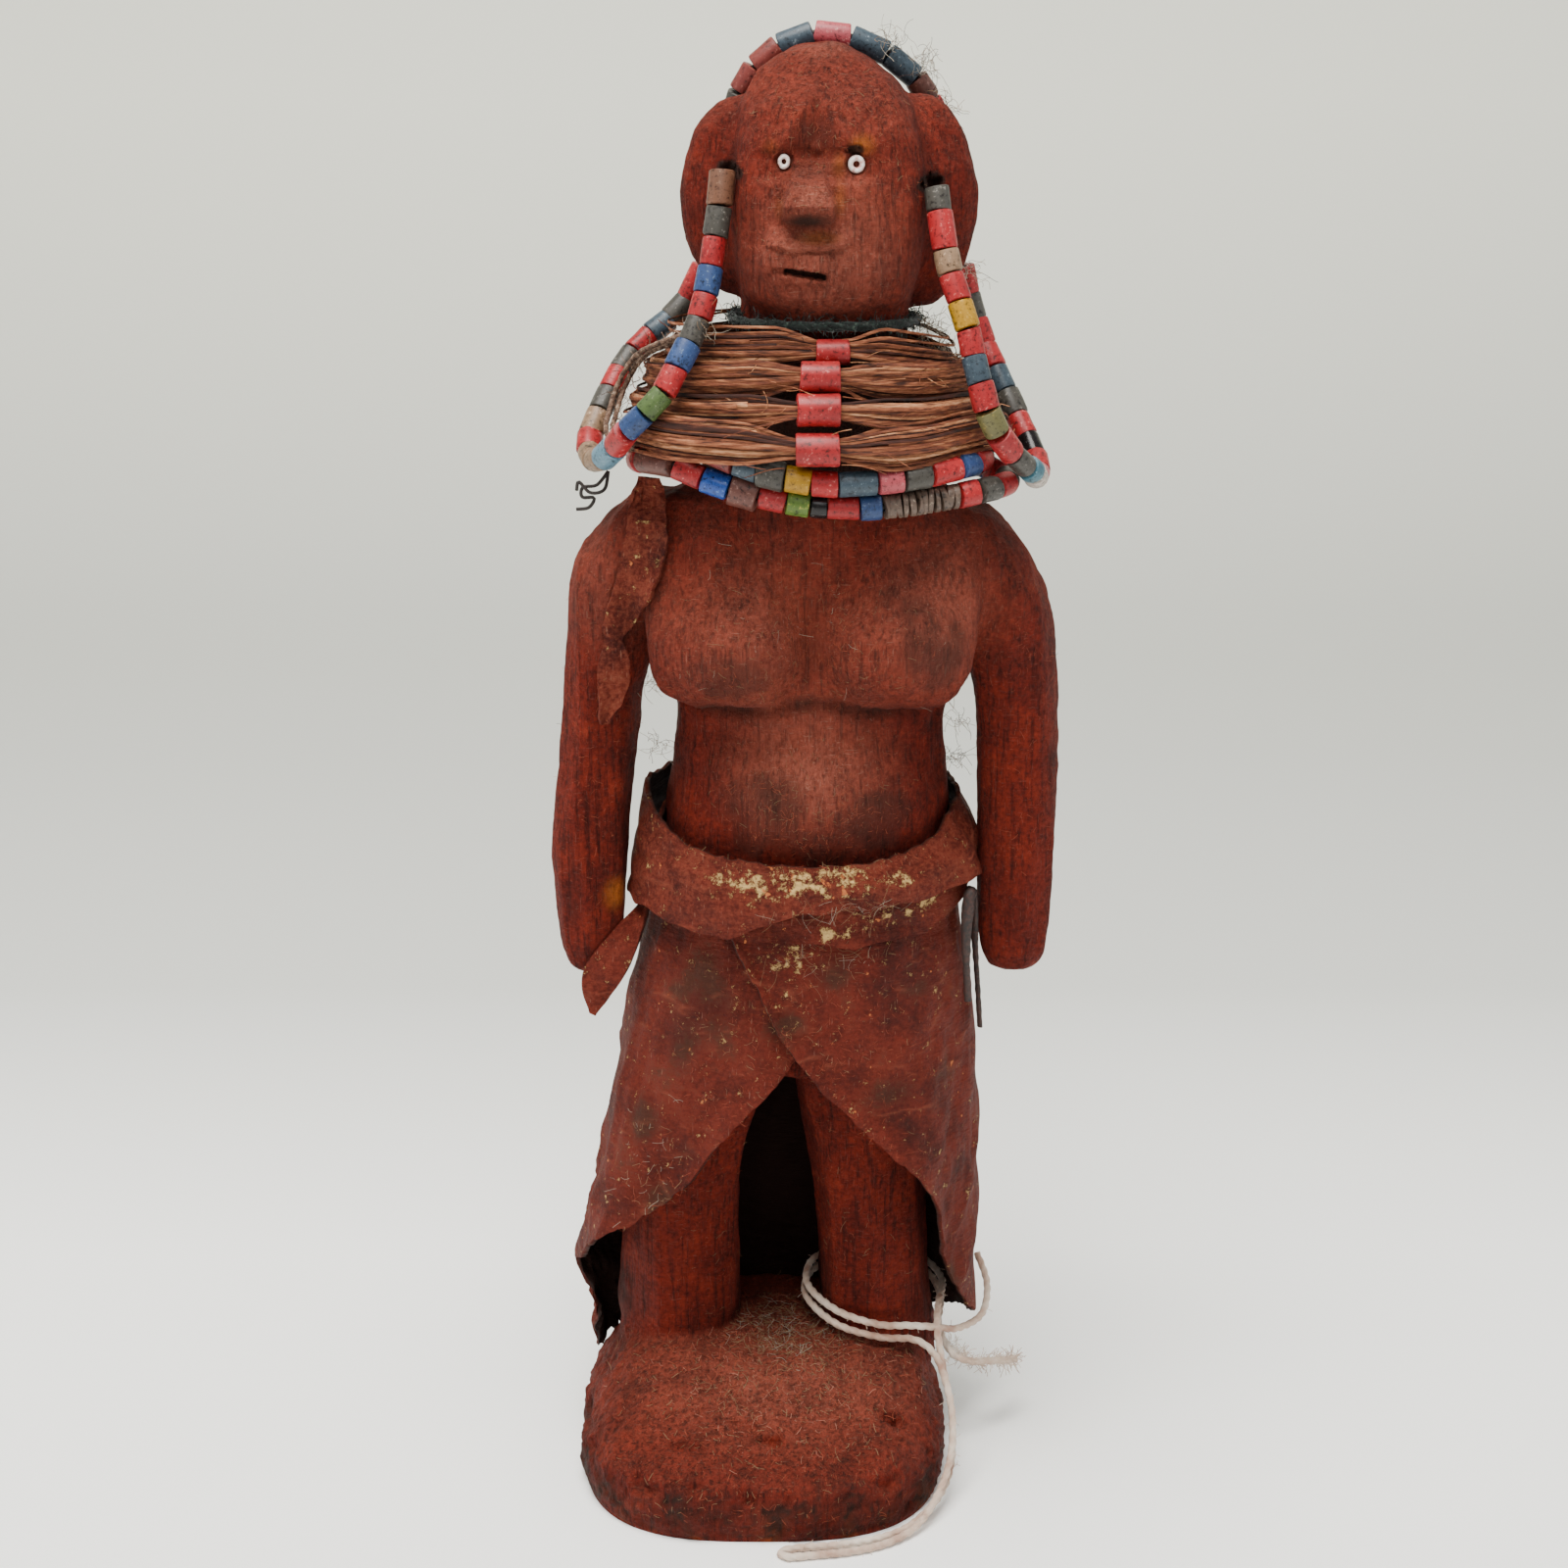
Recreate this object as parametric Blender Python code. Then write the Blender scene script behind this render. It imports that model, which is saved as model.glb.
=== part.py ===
"""A carved wooden doll on its own base, dressed in bead strings, a fibre collar, a hide belt and a hide skirt.

Metres, +Z up. The doll faces -Y and its left side is towards +X. The origin is the middle of the base's flat
underside. Free forms, such as the carving and the lines that strings follow, are written in shares of the
doll's height: one SHARE is 1/285 of it, which is a millimetre on the doll at its real size.
"""

import math

import bmesh
import bpy
import numpy as np
from mathutils import Vector
from mathutils.bvhtree import BVHTree

# Driving sizes
DOLL_HEIGHT = 0.285
BASE_WIDTH = 0.076
BASE_DEPTH = 0.075
BASE_SIDE_HEIGHT = 0.012
BEAD_DIAMETER = 0.0048
BEAD_LENGTH = 0.0051
COLLAR_BEAD_LENGTHS = (0.006, 0.0072, 0.0078, 0.0078)
COLLAR_BEAD_DIAMETERS = (0.0048, 0.0057, 0.006, 0.006)
COLLAR_BORE = 0.0028
FIBRE_BUNDLE_DIAMETER = 0.0052
FIBRE_NECK_DIAMETER = 0.0016
NECK_CORD_DIAMETER = 0.0024
HIDE_THICKNESS = 0.001
EYE_BEAD_DIAMETERS = (0.0028, 0.0033)
EYE_BEAD_DEPTH = 0.0012
EYE_BEAD_HOLE = 0.0011
THONG_WIDTH = 0.0012
STRING_DIAMETER = 0.0016
# The gap that each piece keeps to what it lies on
GAP = 0.0004

SHARE = DOLL_HEIGHT / 285
# One hide laid over another
LAYER = HIDE_THICKNESS + GAP
# The finest form kept when the carving's forms are joined, and the share of its faces that is kept
CARVING_GRAIN = 1.7 * SHARE
CARVING_FACES = 0.045
# How often a strand's line is pushed clear of what it lies on, and in how many of those rounds it is eased too
SETTLING_ROUNDS = 60
SMOOTHING_ROUNDS = 45
# The spacing of the points on a strand's line, and the steps of a curve between two given points
LINE_STEP = 1.5 * SHARE
CURVE_STEPS = 12

for old in list(bpy.data.objects):
    bpy.data.objects.remove(old, do_unlink=True)


def finish(name, red, green, blue, roughness):
    """A plain Principled material in the piece's own colour."""
    material = bpy.data.materials.new(name)
    material.use_nodes = True
    shader = material.node_tree.nodes["Principled BSDF"]
    shader.inputs["Base Color"].default_value = (red, green, blue, 1.0)
    shader.inputs["Roughness"].default_value = roughness
    shader.inputs["Metallic"].default_value = 0.0
    material.diffuse_color = (red, green, blue, 1.0)
    return material


WOOD = finish("red stained wood", 0.18, 0.05, 0.03, 0.65)
GLASS_BEAD = finish("glass bead", 0.32, 0.08, 0.07, 0.35)
WHITE_BEAD = finish("white glass bead", 0.75, 0.72, 0.66, 0.3)
FIBRE = finish("plant fibre", 0.24, 0.09, 0.05, 0.85)
DARK_CORD = finish("dark twisted cord", 0.02, 0.025, 0.018, 0.8)
HIDE = finish("tanned hide", 0.16, 0.06, 0.035, 0.8)
COTTON = finish("cotton string", 0.5, 0.42, 0.35, 0.85)


def solid(name, points, faces, material, helper=False):
    """One closed mesh object with its faces turned outwards. A helper is a shape that is only cut or joined with."""
    mesh = bpy.data.meshes.new(name)
    mesh.from_pydata([tuple(point) for point in points], [], faces)
    shape = bmesh.new()
    shape.from_mesh(mesh)
    bmesh.ops.recalc_face_normals(shape, faces=shape.faces)
    shape.to_mesh(mesh)
    shape.free()
    mesh.materials.append(material)
    mesh.shade_smooth()
    piece = bpy.data.objects.new(name, mesh)
    bpy.context.collection.objects.link(piece)
    if helper:
        piece.hide_render = True
        piece.display_type = "WIRE"
    return piece


def loft(stations, squareness=2.2, sides=40):
    """Level rings joined into a closed form. A station is height, middle x, middle y, half width, half depth.

    Squareness 2 gives an ellipse, and more gives fuller corners.
    """
    points = []
    for height, middle_x, middle_y, half_width, half_depth in stations:
        for side in range(sides):
            turn = 2 * math.pi * side / sides
            across = math.copysign(abs(math.cos(turn)) ** (2 / squareness), math.cos(turn))
            along = math.copysign(abs(math.sin(turn)) ** (2 / squareness), math.sin(turn))
            points.append((middle_x + half_width * across, middle_y + half_depth * along, height))
    faces = []
    for ring in range(len(stations) - 1):
        for side in range(sides):
            following = (side + 1) % sides
            low, high = ring * sides, (ring + 1) * sides
            faces.append((low + side, low + following, high + following, high + side))
    faces.append(tuple(reversed(range(sides))))
    last = (len(stations) - 1) * sides
    faces.append(tuple(range(last, last + sides)))
    return points, faces


def in_shares(rows):
    """Rows of numbers written in shares of the doll's height, in metres."""
    return [tuple(value * SHARE for value in row) for row in rows]


def egg(middle, halves, rings=14):
    """A lofted ellipsoid."""
    stations = []
    for ring in range(rings + 1):
        rise = -math.pi / 2 + math.pi * ring / rings
        width = max(math.cos(rise), 0.05)
        height = middle[2] + halves[2] * math.sin(rise)
        stations.append((height, middle[0], middle[1], halves[0] * width, halves[1] * width))
    return loft(in_shares(stations), squareness=2.0)


def base_form():
    """The base: upright sides with rounded corners, and a top that rises in a low mound to the feet."""
    side = BASE_SIDE_HEIGHT
    half_width, half_depth = BASE_WIDTH / 2, BASE_DEPTH / 2
    mound = 24 * SHARE - side
    # Share of the side's height or of the mound, middle x and y, and shares of the half width and half depth
    upright = ((-0.3, 0.965), (0.0, 0.975), (0.35, 1.0), (0.85, 0.99), (1.0, 0.965))
    stations = [(side * up, 0, 0, half_width * full, half_depth * full) for up, full in upright]
    rising = ((0.18, 0.2, 1.0, 0.935, 0.915), (0.5, 0.9, 4.0, 0.885, 0.78), (0.85, 1.7, 7.0, 0.82, 0.62),
              (1.1, 2.2, 10.0, 0.74, 0.42))
    for up, x, y, across, along in rising:
        stations.append((side + mound * up, x * SHARE, y * SHARE, half_width * across, half_depth * along))
    return loft(stations, squareness=2.9)


def body_forms():
    """The doll's lofts: legs, trunk, neck, arms, breasts, head, ear discs and the face's main forms."""
    leg_right = ((16, -17.5, 11, 13, 13), (24, -17.8, 11, 12.4, 12.5), (37, -17.6, 11, 11.8, 12),
                 (47, -17.4, 11, 11.6, 12), (58, -16.8, 11, 11.6, 12.5), (70, -15, 10.5, 12, 13),
                 (82, -12.5, 10, 13.2, 14), (96, -8, 9.5, 17, 15.5))
    leg_left = ((16, 24, 11, 13, 13), (24, 24, 11, 12, 12.5), (37, 23.5, 11, 11, 12), (47, 23.2, 11, 11.1, 12),
                (58, 22.6, 11, 11.2, 12.5), (70, 21.5, 10.5, 11.6, 13), (82, 20.2, 10, 12.4, 14),
                (96, 18.5, 9.5, 16.5, 15.5))
    trunk = ((86, 8, 9.5, 23, 14), (100, 8, 9, 27, 16.5), (115, 8.2, 9, 28, 17.6), (128, 8.6, 9, 28.2, 18),
             (140, 9, 9, 27.8, 18.4), (150, 9.2, 9, 26.6, 17.4), (158, 9.4, 9, 26, 16), (166, 9.6, 9, 26.6, 16),
             (172, 9.8, 9, 29.4, 16.6), (179, 10, 9, 33, 17), (189, 10, 9, 34, 16.6), (196, 10, 8.6, 31, 15.4),
             (203, 10.2, 8.2, 26, 14.4), (209, 10.4, 7.8, 21, 13.8), (215, 10.6, 7.5, 17.5, 13.5))
    neck = ((205, 10.4, 7, 17.5, 13.6), (222, 11.2, 6.8, 16.2, 13.4), (234, 11.8, 6.5, 15.6, 13.4),
            (246, 12.4, 6.5, 15.4, 13))
    arm_right = ((203, -17, 8, 6, 8), (199.5, -19.4, 8, 8.8, 10), (195, -21.6, 8, 10.2, 11), (191, -24, 8, 11, 11.6),
                 (186, -25.6, 8, 11, 11.4), (178, -28, 8, 9.3, 10), (164, -30.9, 8, 7.6, 8.5),
                 (150, -32.4, 7.5, 7.2, 8), (134, -33.8, 6, 6.9, 7.5), (122, -33.9, 5, 6.5, 6.6),
                 (113, -34.2, 4.5, 5.6, 5.6), (108.8, -34.6, 4.5, 4, 4.4), (108.2, -34.7, 4.5, 2.6, 3))
    arm_left = ((202, 33, 8, 6, 8), (199, 36, 8, 9, 10), (195, 38.5, 8, 10, 11), (190, 41, 8, 10.6, 11.6),
                (184, 44.4, 8, 10.8, 11.4), (178, 46.7, 8, 9.8, 10.4), (170, 48.9, 8, 8.3, 9),
                (160, 50.2, 8, 7.5, 8.5), (145, 50.7, 7.5, 7.2, 8), (130, 50.9, 6, 6.9, 7.5),
                (118, 50.8, 5, 6.6, 6.6), (111, 50.6, 4.5, 5.8, 5.6), (107.4, 50.3, 4.5, 4.2, 4.4),
                (106.8, 50.3, 4.5, 2.8, 3))
    face = ((238.2, 12, 3, 11, 9), (240.6, 12.3, 2.6, 15.4, 11.8), (246, 12.5, 2.8, 17, 12.6),
            (254, 12.6, 3.4, 17.4, 12.8), (262, 12.6, 4.4, 17.3, 12.8), (269, 12.5, 6.4, 16.7, 14),
            (275, 12.3, 9, 15.3, 13.6), (279.4, 11.9, 11, 12.6, 11.2), (282.8, 11.3, 12, 8.6, 8),
            (285, 10.8, 12.4, 4.4, 4.4))
    skull = ((239, 12.4, 13, 14.6, 12), (250, 12.5, 13.5, 17, 14), (265, 12.5, 13.5, 17.2, 14.5),
             (273, 12.2, 13.5, 15.2, 13), (279, 11.8, 13.5, 11.4, 10), (282, 11.3, 13.5, 6.5, 6))
    nose = ((253.8, 8.8, -8.6, 3.8, 2.6), (255.4, 8.8, -9.2, 4.7, 4), (258.4, 8.8, -9.8, 4.8, 5.2),
            (260.2, 8.8, -9.6, 4.6, 5), (262.6, 8.8, -8.2, 3.8, 2.6), (264, 8.8, -7.2, 2.6, 1.4))
    muzzle = ((240, 10.6, -5, 7, 4.6), (243, 10, -7, 9, 4.6), (247, 9.4, -8.2, 9.5, 4.4),
              (250.6, 9.2, -8.6, 9, 3.8), (253, 9, -7.6, 7.5, 2.6))
    forms = [loft(in_shares(stations)) for stations in (leg_right, leg_left, trunk, neck, skull, nose, muzzle)]
    forms += [loft(in_shares(reversed(stations)), squareness=2.3) for stations in (arm_right, arm_left)]
    forms.append(loft(in_shares(face), squareness=2.7))
    forms.append(egg((-3.6, 12.5, 257.6), (11.2, 7.5, 18.6)))
    forms.append(egg((29.2, 12.5, 256.8), (11.3, 7.5, 19.6)))
    for middle_x in (-6.6, 25.6):
        breast = ((164.6, -4.4, 8, 3.2), (166.6, -5.4, 12, 5.6), (171, -6, 14.4, 7.2), (178, -5.6, 15.4, 7.4),
                  (187, -3.4, 15.6, 6.6), (196, -1, 14, 5.6), (204, 1.6, 11, 5))
        stations = [(height, middle_x, y, width, depth) for height, y, width, depth in breast]
        forms.append(loft(in_shares(stations), squareness=2.1))
    forms.append(base_form())
    return forms


def box_solid(name, low, high):
    """A plain box used as a cutter."""
    points = [(x, y, z) for x in (low[0], high[0]) for y in (low[1], high[1]) for z in (low[2], high[2])]
    faces = [(0, 1, 3, 2), (4, 6, 7, 5), (0, 4, 5, 1), (2, 3, 7, 6), (0, 2, 6, 4), (1, 5, 7, 3)]
    return solid(name, points, faces, WOOD, helper=True)


def cut_away(piece, cutter):
    cut = piece.modifiers.new(cutter.name, "BOOLEAN")
    cut.operation = "DIFFERENCE"
    cut.solver = "EXACT"
    cut.object = cutter


def surface_of(piece):
    bpy.context.view_layer.update()
    return BVHTree.FromObject(piece, bpy.context.evaluated_depsgraph_get())


def carve_figure():
    """All the forms carved from one log: joined, evened out, faceted and cut flat underneath."""
    points, faces = [], []
    for form_points, form_faces in body_forms():
        start = len(points)
        points += form_points
        faces += [tuple(start + corner for corner in face) for face in form_faces]
    figure = solid("carved_figure", points, faces, WOOD)
    joined = figure.modifiers.new("joined", "REMESH")
    joined.mode = "VOXEL"
    joined.voxel_size = CARVING_GRAIN
    evened = figure.modifiers.new("evened", "SMOOTH")
    evened.factor = 0.5
    evened.iterations = 2
    faceted = figure.modifiers.new("faceted", "DECIMATE")
    faceted.ratio = CARVING_FACES
    reach = DOLL_HEIGHT
    below = box_solid("ground_cutter", (-reach, -reach, -reach), (reach, reach, 0.0))
    cut_away(figure, below)
    return figure


def turned(name, profile, middle, sides, material):
    """A closed profile turned about a line along Y through the middle. A profile point is radius, place along Y."""
    points, faces = [], []
    count = len(profile)
    for side in range(sides):
        turn = 2 * math.pi * side / sides
        for radius, along in profile:
            points.append((middle[0] + radius * math.cos(turn), middle[1] + along,
                           middle[2] + radius * math.sin(turn)))
    for side in range(sides):
        this, following = side * count, ((side + 1) % sides) * count
        for step in range(count):
            after = (step + 1) % count
            faces.append((this + step, this + after, following + after, following + step))
    return solid(name, points, faces, material)


def eye(name, figure, x, z, diameter):
    """A white ring bead let into a socket in the face."""
    found, _, _, _ = surface_of(figure).ray_cast(Vector((x, -DOLL_HEIGHT, z)), Vector((0, 1, 0)))
    outer, hole, half = diameter / 2, EYE_BEAD_HOLE / 2, EYE_BEAD_DEPTH / 2
    middle = (x, found.y, z)
    bevel = 0.3 * (outer - hole)
    profile = [(outer, -half + bevel), (outer - bevel, -half), (hole, -half), (hole, half), (outer, half)]
    turned(name, profile, middle, 8, WHITE_BEAD)
    socket_profile = [(outer + GAP, -4 * half), (outer + GAP, half + GAP)]
    sides = 12
    points = []
    for radius, along in socket_profile:
        for side in range(sides):
            turn = 2 * math.pi * side / sides
            points.append((x + radius * math.cos(turn), middle[1] + along, z + radius * math.sin(turn)))
    faces = [(side, (side + 1) % sides, sides + (side + 1) % sides, sides + side) for side in range(sides)]
    faces += [tuple(range(sides)), tuple(reversed(range(sides, 2 * sides)))]
    cut_away(figure, solid(name + "_socket", points, faces, WOOD, helper=True))


def even_line(points, step, closed=False):
    """Points a step apart along a smooth curve through the given ones, as an array."""
    given = np.array(points, float)
    count = len(given)
    fine = []
    for span in range(count if closed else count - 1):
        if closed:
            a, b, c, d = (given[(span + shift) % count] for shift in (-1, 0, 1, 2))
        else:
            a, b, c, d = (given[min(max(span + shift, 0), count - 1)] for shift in (-1, 0, 1, 2))
        for part in range(CURVE_STEPS):
            t = part / CURVE_STEPS
            fine.append(0.5 * (2 * b + (c - a) * t + (2 * a - 5 * b + 4 * c - d) * t * t
                               + (3 * b - a - 3 * c + d) * t ** 3))
    fine.append(given[0] if closed else given[-1])
    fine = np.array(fine)
    lengths = np.append(0, np.cumsum(np.linalg.norm(np.diff(fine, axis=0), axis=1)))
    pieces = max(round(lengths[-1] / step), 4)
    places = np.linspace(0, lengths[-1], pieces + 1)
    if closed:
        places = places[:-1]
    return np.stack([np.interp(places, lengths, fine[:, axis]) for axis in range(3)], axis=1)


def clear_of_wood(point, reach, wood):
    """The point, moved out of the wood until it is at least reach from it."""
    nearest, normal, _, far = wood.find_nearest(Vector(point))
    away = Vector(point) - nearest
    outside = away.dot(normal) > 0
    short = reach - (far if outside else -far)
    if short <= 0:
        return point
    way = away.normalized() if outside and far > 1e-6 else normal
    return point + np.array(way) * short


def settled(line, radius, wood, placed, closed=False):
    """A strand's line moved out until it clears the wood and every strand placed before it."""
    start, line = line, line.copy()
    for turn in range(SETTLING_ROUNDS):
        for at, point in enumerate(line):
            line[at] = clear_of_wood(point, radius + GAP, wood)
        for others, other_radius in placed:
            apart = line[:, None, :] - others[None, :, :]
            far = np.linalg.norm(apart, axis=2)
            nearest = np.argmin(far, axis=1)
            rows = np.arange(len(line))
            distance = far[rows, nearest]
            short = np.maximum(radius + other_radius + GAP - distance, 0)
            way = apart[rows, nearest] / np.maximum(distance, 1e-6)[:, None]
            line += way * short[:, None]
        if turn < SMOOTHING_ROUNDS:
            moved = line - start
            eased = 0.6 * moved + 0.2 * (np.roll(moved, 1, axis=0) + np.roll(moved, -1, axis=0))
            if not closed:
                eased[0], eased[-1] = moved[0], moved[-1]
            line = start + eased
    return line


def swept(name, centres, radii, sides, material, closed=False):
    """A closed tube through the centres, each ring with its own radius, turned as little as can be on the way."""
    centres = np.array(centres)
    count = len(centres)
    if closed:
        ways = np.roll(centres, -1, axis=0) - np.roll(centres, 1, axis=0)
    else:
        ways = np.gradient(centres, axis=0)
    ways = [Vector(way).normalized() for way in ways]
    side_way = ways[0].orthogonal().normalized()
    points = []
    for at in range(count):
        side_way = (side_way - ways[at] * side_way.dot(ways[at])).normalized()
        third = ways[at].cross(side_way)
        for side in range(sides):
            turn = 2 * math.pi * side / sides
            out = side_way * math.cos(turn) + third * math.sin(turn)
            points.append(Vector(centres[at]) + out * radii[at])
    faces = []
    shift = 0
    if closed:
        # The frame comes back turned, so the last ring is joined to the first from its nearest corner
        last = points[(count - 1) * sides]
        shift = min(range(sides), key=lambda side: (points[side] - last).length)
    for ring in range(count if closed else count - 1):
        low, high = ring * sides, ((ring + 1) % count) * sides
        turned_by = shift if ring == count - 1 else 0
        for side in range(sides):
            after = (side + 1) % sides
            faces.append((low + side, low + after, high + (after + turned_by) % sides,
                          high + (side + turned_by) % sides))
    if not closed:
        faces.append(tuple(reversed(range(sides))))
        faces.append(tuple(range((count - 1) * sides, count * sides)))
    return solid(name, points, faces, material)


def bead_string(name, line, closed=False, sides=5):
    """Beads threaded end to end and fused into one chain, with a groove between each two."""
    if closed:
        line = np.append(line, line[:1], axis=0)
    lengths = np.append(0, np.cumsum(np.linalg.norm(np.diff(line, axis=0), axis=1)))
    beads = max(round(lengths[-1] / BEAD_LENGTH), 3)
    bead = lengths[-1] / beads
    shoulder, groove = 0.2 * bead, 0.3 * BEAD_DIAMETER
    places, radii = [], []
    for number in range(beads):
        start = number * bead
        places += [start, start + shoulder, start + bead - shoulder]
        radii += [groove, BEAD_DIAMETER / 2, BEAD_DIAMETER / 2]
    if not closed:
        places.append(lengths[-1])
        radii.append(groove)
    centres = np.stack([np.interp(places, lengths, line[:, axis]) for axis in range(3)], axis=1)
    return swept(name, centres, radii, sides, GLASS_BEAD, closed)


def ring_line(front, left, right, back_y, back_z):
    """A closed line round the neck through its front, left and right points, given in shares of the height."""
    middle_x, side_y = (left[0] + right[0]) / 2, left[1]

    def corner(side, end_y, end_z):
        diagonal = math.sqrt(0.5)
        return (middle_x + (side[0] - middle_x) * diagonal, side_y + (end_y - side_y) * diagonal,
                (side[2] + end_z) / 2)

    return in_shares((
        front, corner(left, *front[1:]), left, corner(left, back_y, back_z), (middle_x, back_y, back_z),
        corner(right, back_y, back_z), right, corner(right, *front[1:])))


figure = carve_figure()
wood = surface_of(figure)

# Each strand placed so far, as its points and its radius, for the next ones to keep clear of
placed = []


def place(line, radius, closed=False):
    line = settled(line, radius, wood, placed, closed)
    placed.append((line, radius))
    return line


# The two bead necklaces, each a closed string that lies on the shoulders and hangs a little in front
NECKLACE_LOWER = in_shares((
    (12.5, -14, 204.6), (-0.5, -13.4, 206.6), (-10.3, -12, 209.4), (-18, -8.5, 212), (-22.5, -2, 211), (-22, 7, 210),
    (-14, 18, 211), (-2, 23.5, 213), (10, 25.5, 214), (22, 23.5, 213), (34, 18, 211), (43.5, 8, 207.5),
    (46.6, -1, 206.8), (41.5, -8.5, 206.6), (31.3, -12, 205.4), (22, -13.8, 204.6)))
NECKLACE_UPPER = in_shares((
    (10.3, -16, 208.8), (0, -15.2, 211), (-8, -13, 213.6), (-15, -8.6, 215.6), (-18.4, -1, 215.4), (-16.5, 8, 215),
    (-7, 17, 216), (10, 21.5, 218), (28, 17, 216), (38, 8, 212.4), (41.6, -1, 211), (38, -8.8, 210.2),
    (31, -13, 209.4), (21, -15.4, 208.8)))

# The four fibre hoops: front, left and right points, the back's y and z, each through its own red bead
HOOPS = (
    ((13.2, -10.3, 232.2), (-15.9, 7, 230.4), (35.2, 7, 227.6), 26.5, 231),
    ((10.9, -14.6, 228.4), (-20.6, 7, 225.6), (41, 7, 223.2), 28.5, 226),
    ((10.6, -17, 222.8), (-23.4, 7, 220), (43, 7, 217.8), 30, 221),
    ((10.4, -19, 216), (-24.6, 7, 214.6), (44.2, 7, 212), 31, 215.6))

# The strings through the ears, from the hole in the disc down over the collar and back up behind the head
EAR_LOOP_RIGHT = in_shares((
    (-7.2, -0.5, 260.6), (-7.6, -2.5, 255.6), (-8.3, -4, 250.2), (-9.8, -6.5, 241.6), (-11.4, -8.5, 236.6),
    (-13.5, -10.5, 232.3), (-15.3, -12, 228.2), (-17, -12.8, 223.6), (-20.4, -12, 218.4), (-25, -8, 214.8),
    (-30.6, -1, 210.6), (-32.6, 6, 212.7), (-31, 10, 217.1), (-29, 14, 221.1), (-26.7, 18, 225.2),
    (-22.5, 22, 230), (-16.5, 25, 234.5), (-13, 26.5, 239), (-11.2, 26, 243.4)))
EAR_LOOP_LEFT = in_shares((
    (32.6, -1, 257.8), (33, -3.2, 252.4), (34, -5, 247.6), (35.4, -6.5, 243), (37, -8, 238.4), (38.2, -9, 233.9),
    (39.2, -10, 229.3), (40.3, -11, 225.2), (41.8, -11.5, 220.4), (45, -9, 214.6), (48.4, -4, 209.4),
    (51, 2, 206.6), (52.6, 8, 207.6), (51.4, 12.5, 211.3), (49.6, 16, 215.3), (47.6, 19, 219.5),
    (45.2, 22, 224.5), (43, 24.6, 229), (40.6, 26.2, 236), (38.9, 26, 243.4)))
CROWN_STRAND = in_shares((
    (-10.8, 26, 244.6), (-9.6, 26, 252), (-8.2, 25, 260), (-6.4, 22.6, 268), (-4, 20.6, 275), (-1.4, 19.6, 279.8),
    (3.4, 19.2, 283.6), (9.8, 19, 286), (16.8, 19, 285.7), (23.2, 19.2, 283.2), (28.6, 20, 279),
    (32, 21.4, 274), (34.8, 23.2, 267.6), (36.8, 25, 260), (38, 26, 252), (38.5, 26, 244.6)))

bead_radius = BEAD_DIAMETER / 2
for name, route in (("necklace_lower", NECKLACE_LOWER), ("necklace_upper", NECKLACE_UPPER)):
    bead_string(name, place(even_line(route, LINE_STEP, True), bead_radius, True), closed=True)

neck_cord_radius = NECK_CORD_DIAMETER / 2
neck_route = ring_line((12, -8.8, 236.6), (-5.2, 6.5, 236.4), (29, 6.5, 236), 21.4, 236.6)
neck_line = place(even_line(neck_route, 4.6 * SHARE, True), neck_cord_radius, True)
swept("neck_cord", neck_line, [neck_cord_radius] * len(neck_line), 5, DARK_CORD, True)

bundle_radius = FIBRE_BUNDLE_DIAMETER / 2
for number in (4, 3, 2, 1):
    front, left, right, back_y, back_z = HOOPS[number - 1]
    bead_length, bead_diameter = COLLAR_BEAD_LENGTHS[number - 1], COLLAR_BEAD_DIAMETERS[number - 1]
    straight = bead_length / 2 + GAP
    middle = np.array(front) * SHARE
    line = place(even_line(ring_line(front, left, right, back_y, back_z), LINE_STEP, True), bundle_radius, True)
    # The hoop is drawn straight and thin through its bead and swells to a full bundle beside it
    away = np.linalg.norm(line - middle, axis=1)
    line = line[away > straight + bundle_radius]
    turn = np.argmax(np.linalg.norm(line - np.roll(line, 1, axis=0), axis=1))
    line = np.roll(line, -turn, axis=0)[::5]
    entering = -1 if line[0][0] < middle[0] else 1
    ends = [middle - np.array((entering * reach, 0, 0)) for reach in (straight, -straight)]
    centres = np.concatenate([line, ends])
    radii = [bundle_radius] * len(line) + [FIBRE_NECK_DIAMETER / 2] * 2
    swept(f"collar_hoop_{number}", centres, radii, 5, FIBRE, True)
    placed[-1] = (centres[:-2], bundle_radius)
    half, outer, bore = bead_length / 2, bead_diameter / 2, COLLAR_BORE / 2
    profile = [(outer * 0.86, -half), (outer, -half * 0.6), (outer, half * 0.6), (outer * 0.86, half),
               (bore, half), (bore, -half)]
    bead = turned(f"collar_bead_{number}", profile, (0, 0, 0), 8, GLASS_BEAD)
    bead.rotation_euler = (0, 0, math.pi / 2)
    bead.location = middle
    along = np.array([middle + np.array((share * half, 0, 0)) for share in (-0.8, -0.4, 0, 0.4, 0.8)])
    placed.append((along, outer))

for name, route in (("ear_loop_right", EAR_LOOP_RIGHT), ("ear_loop_left", EAR_LOOP_LEFT),
                    ("crown_strand", CROWN_STRAND)):
    bead_string(name, place(even_line(route, LINE_STEP), bead_radius))


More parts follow.
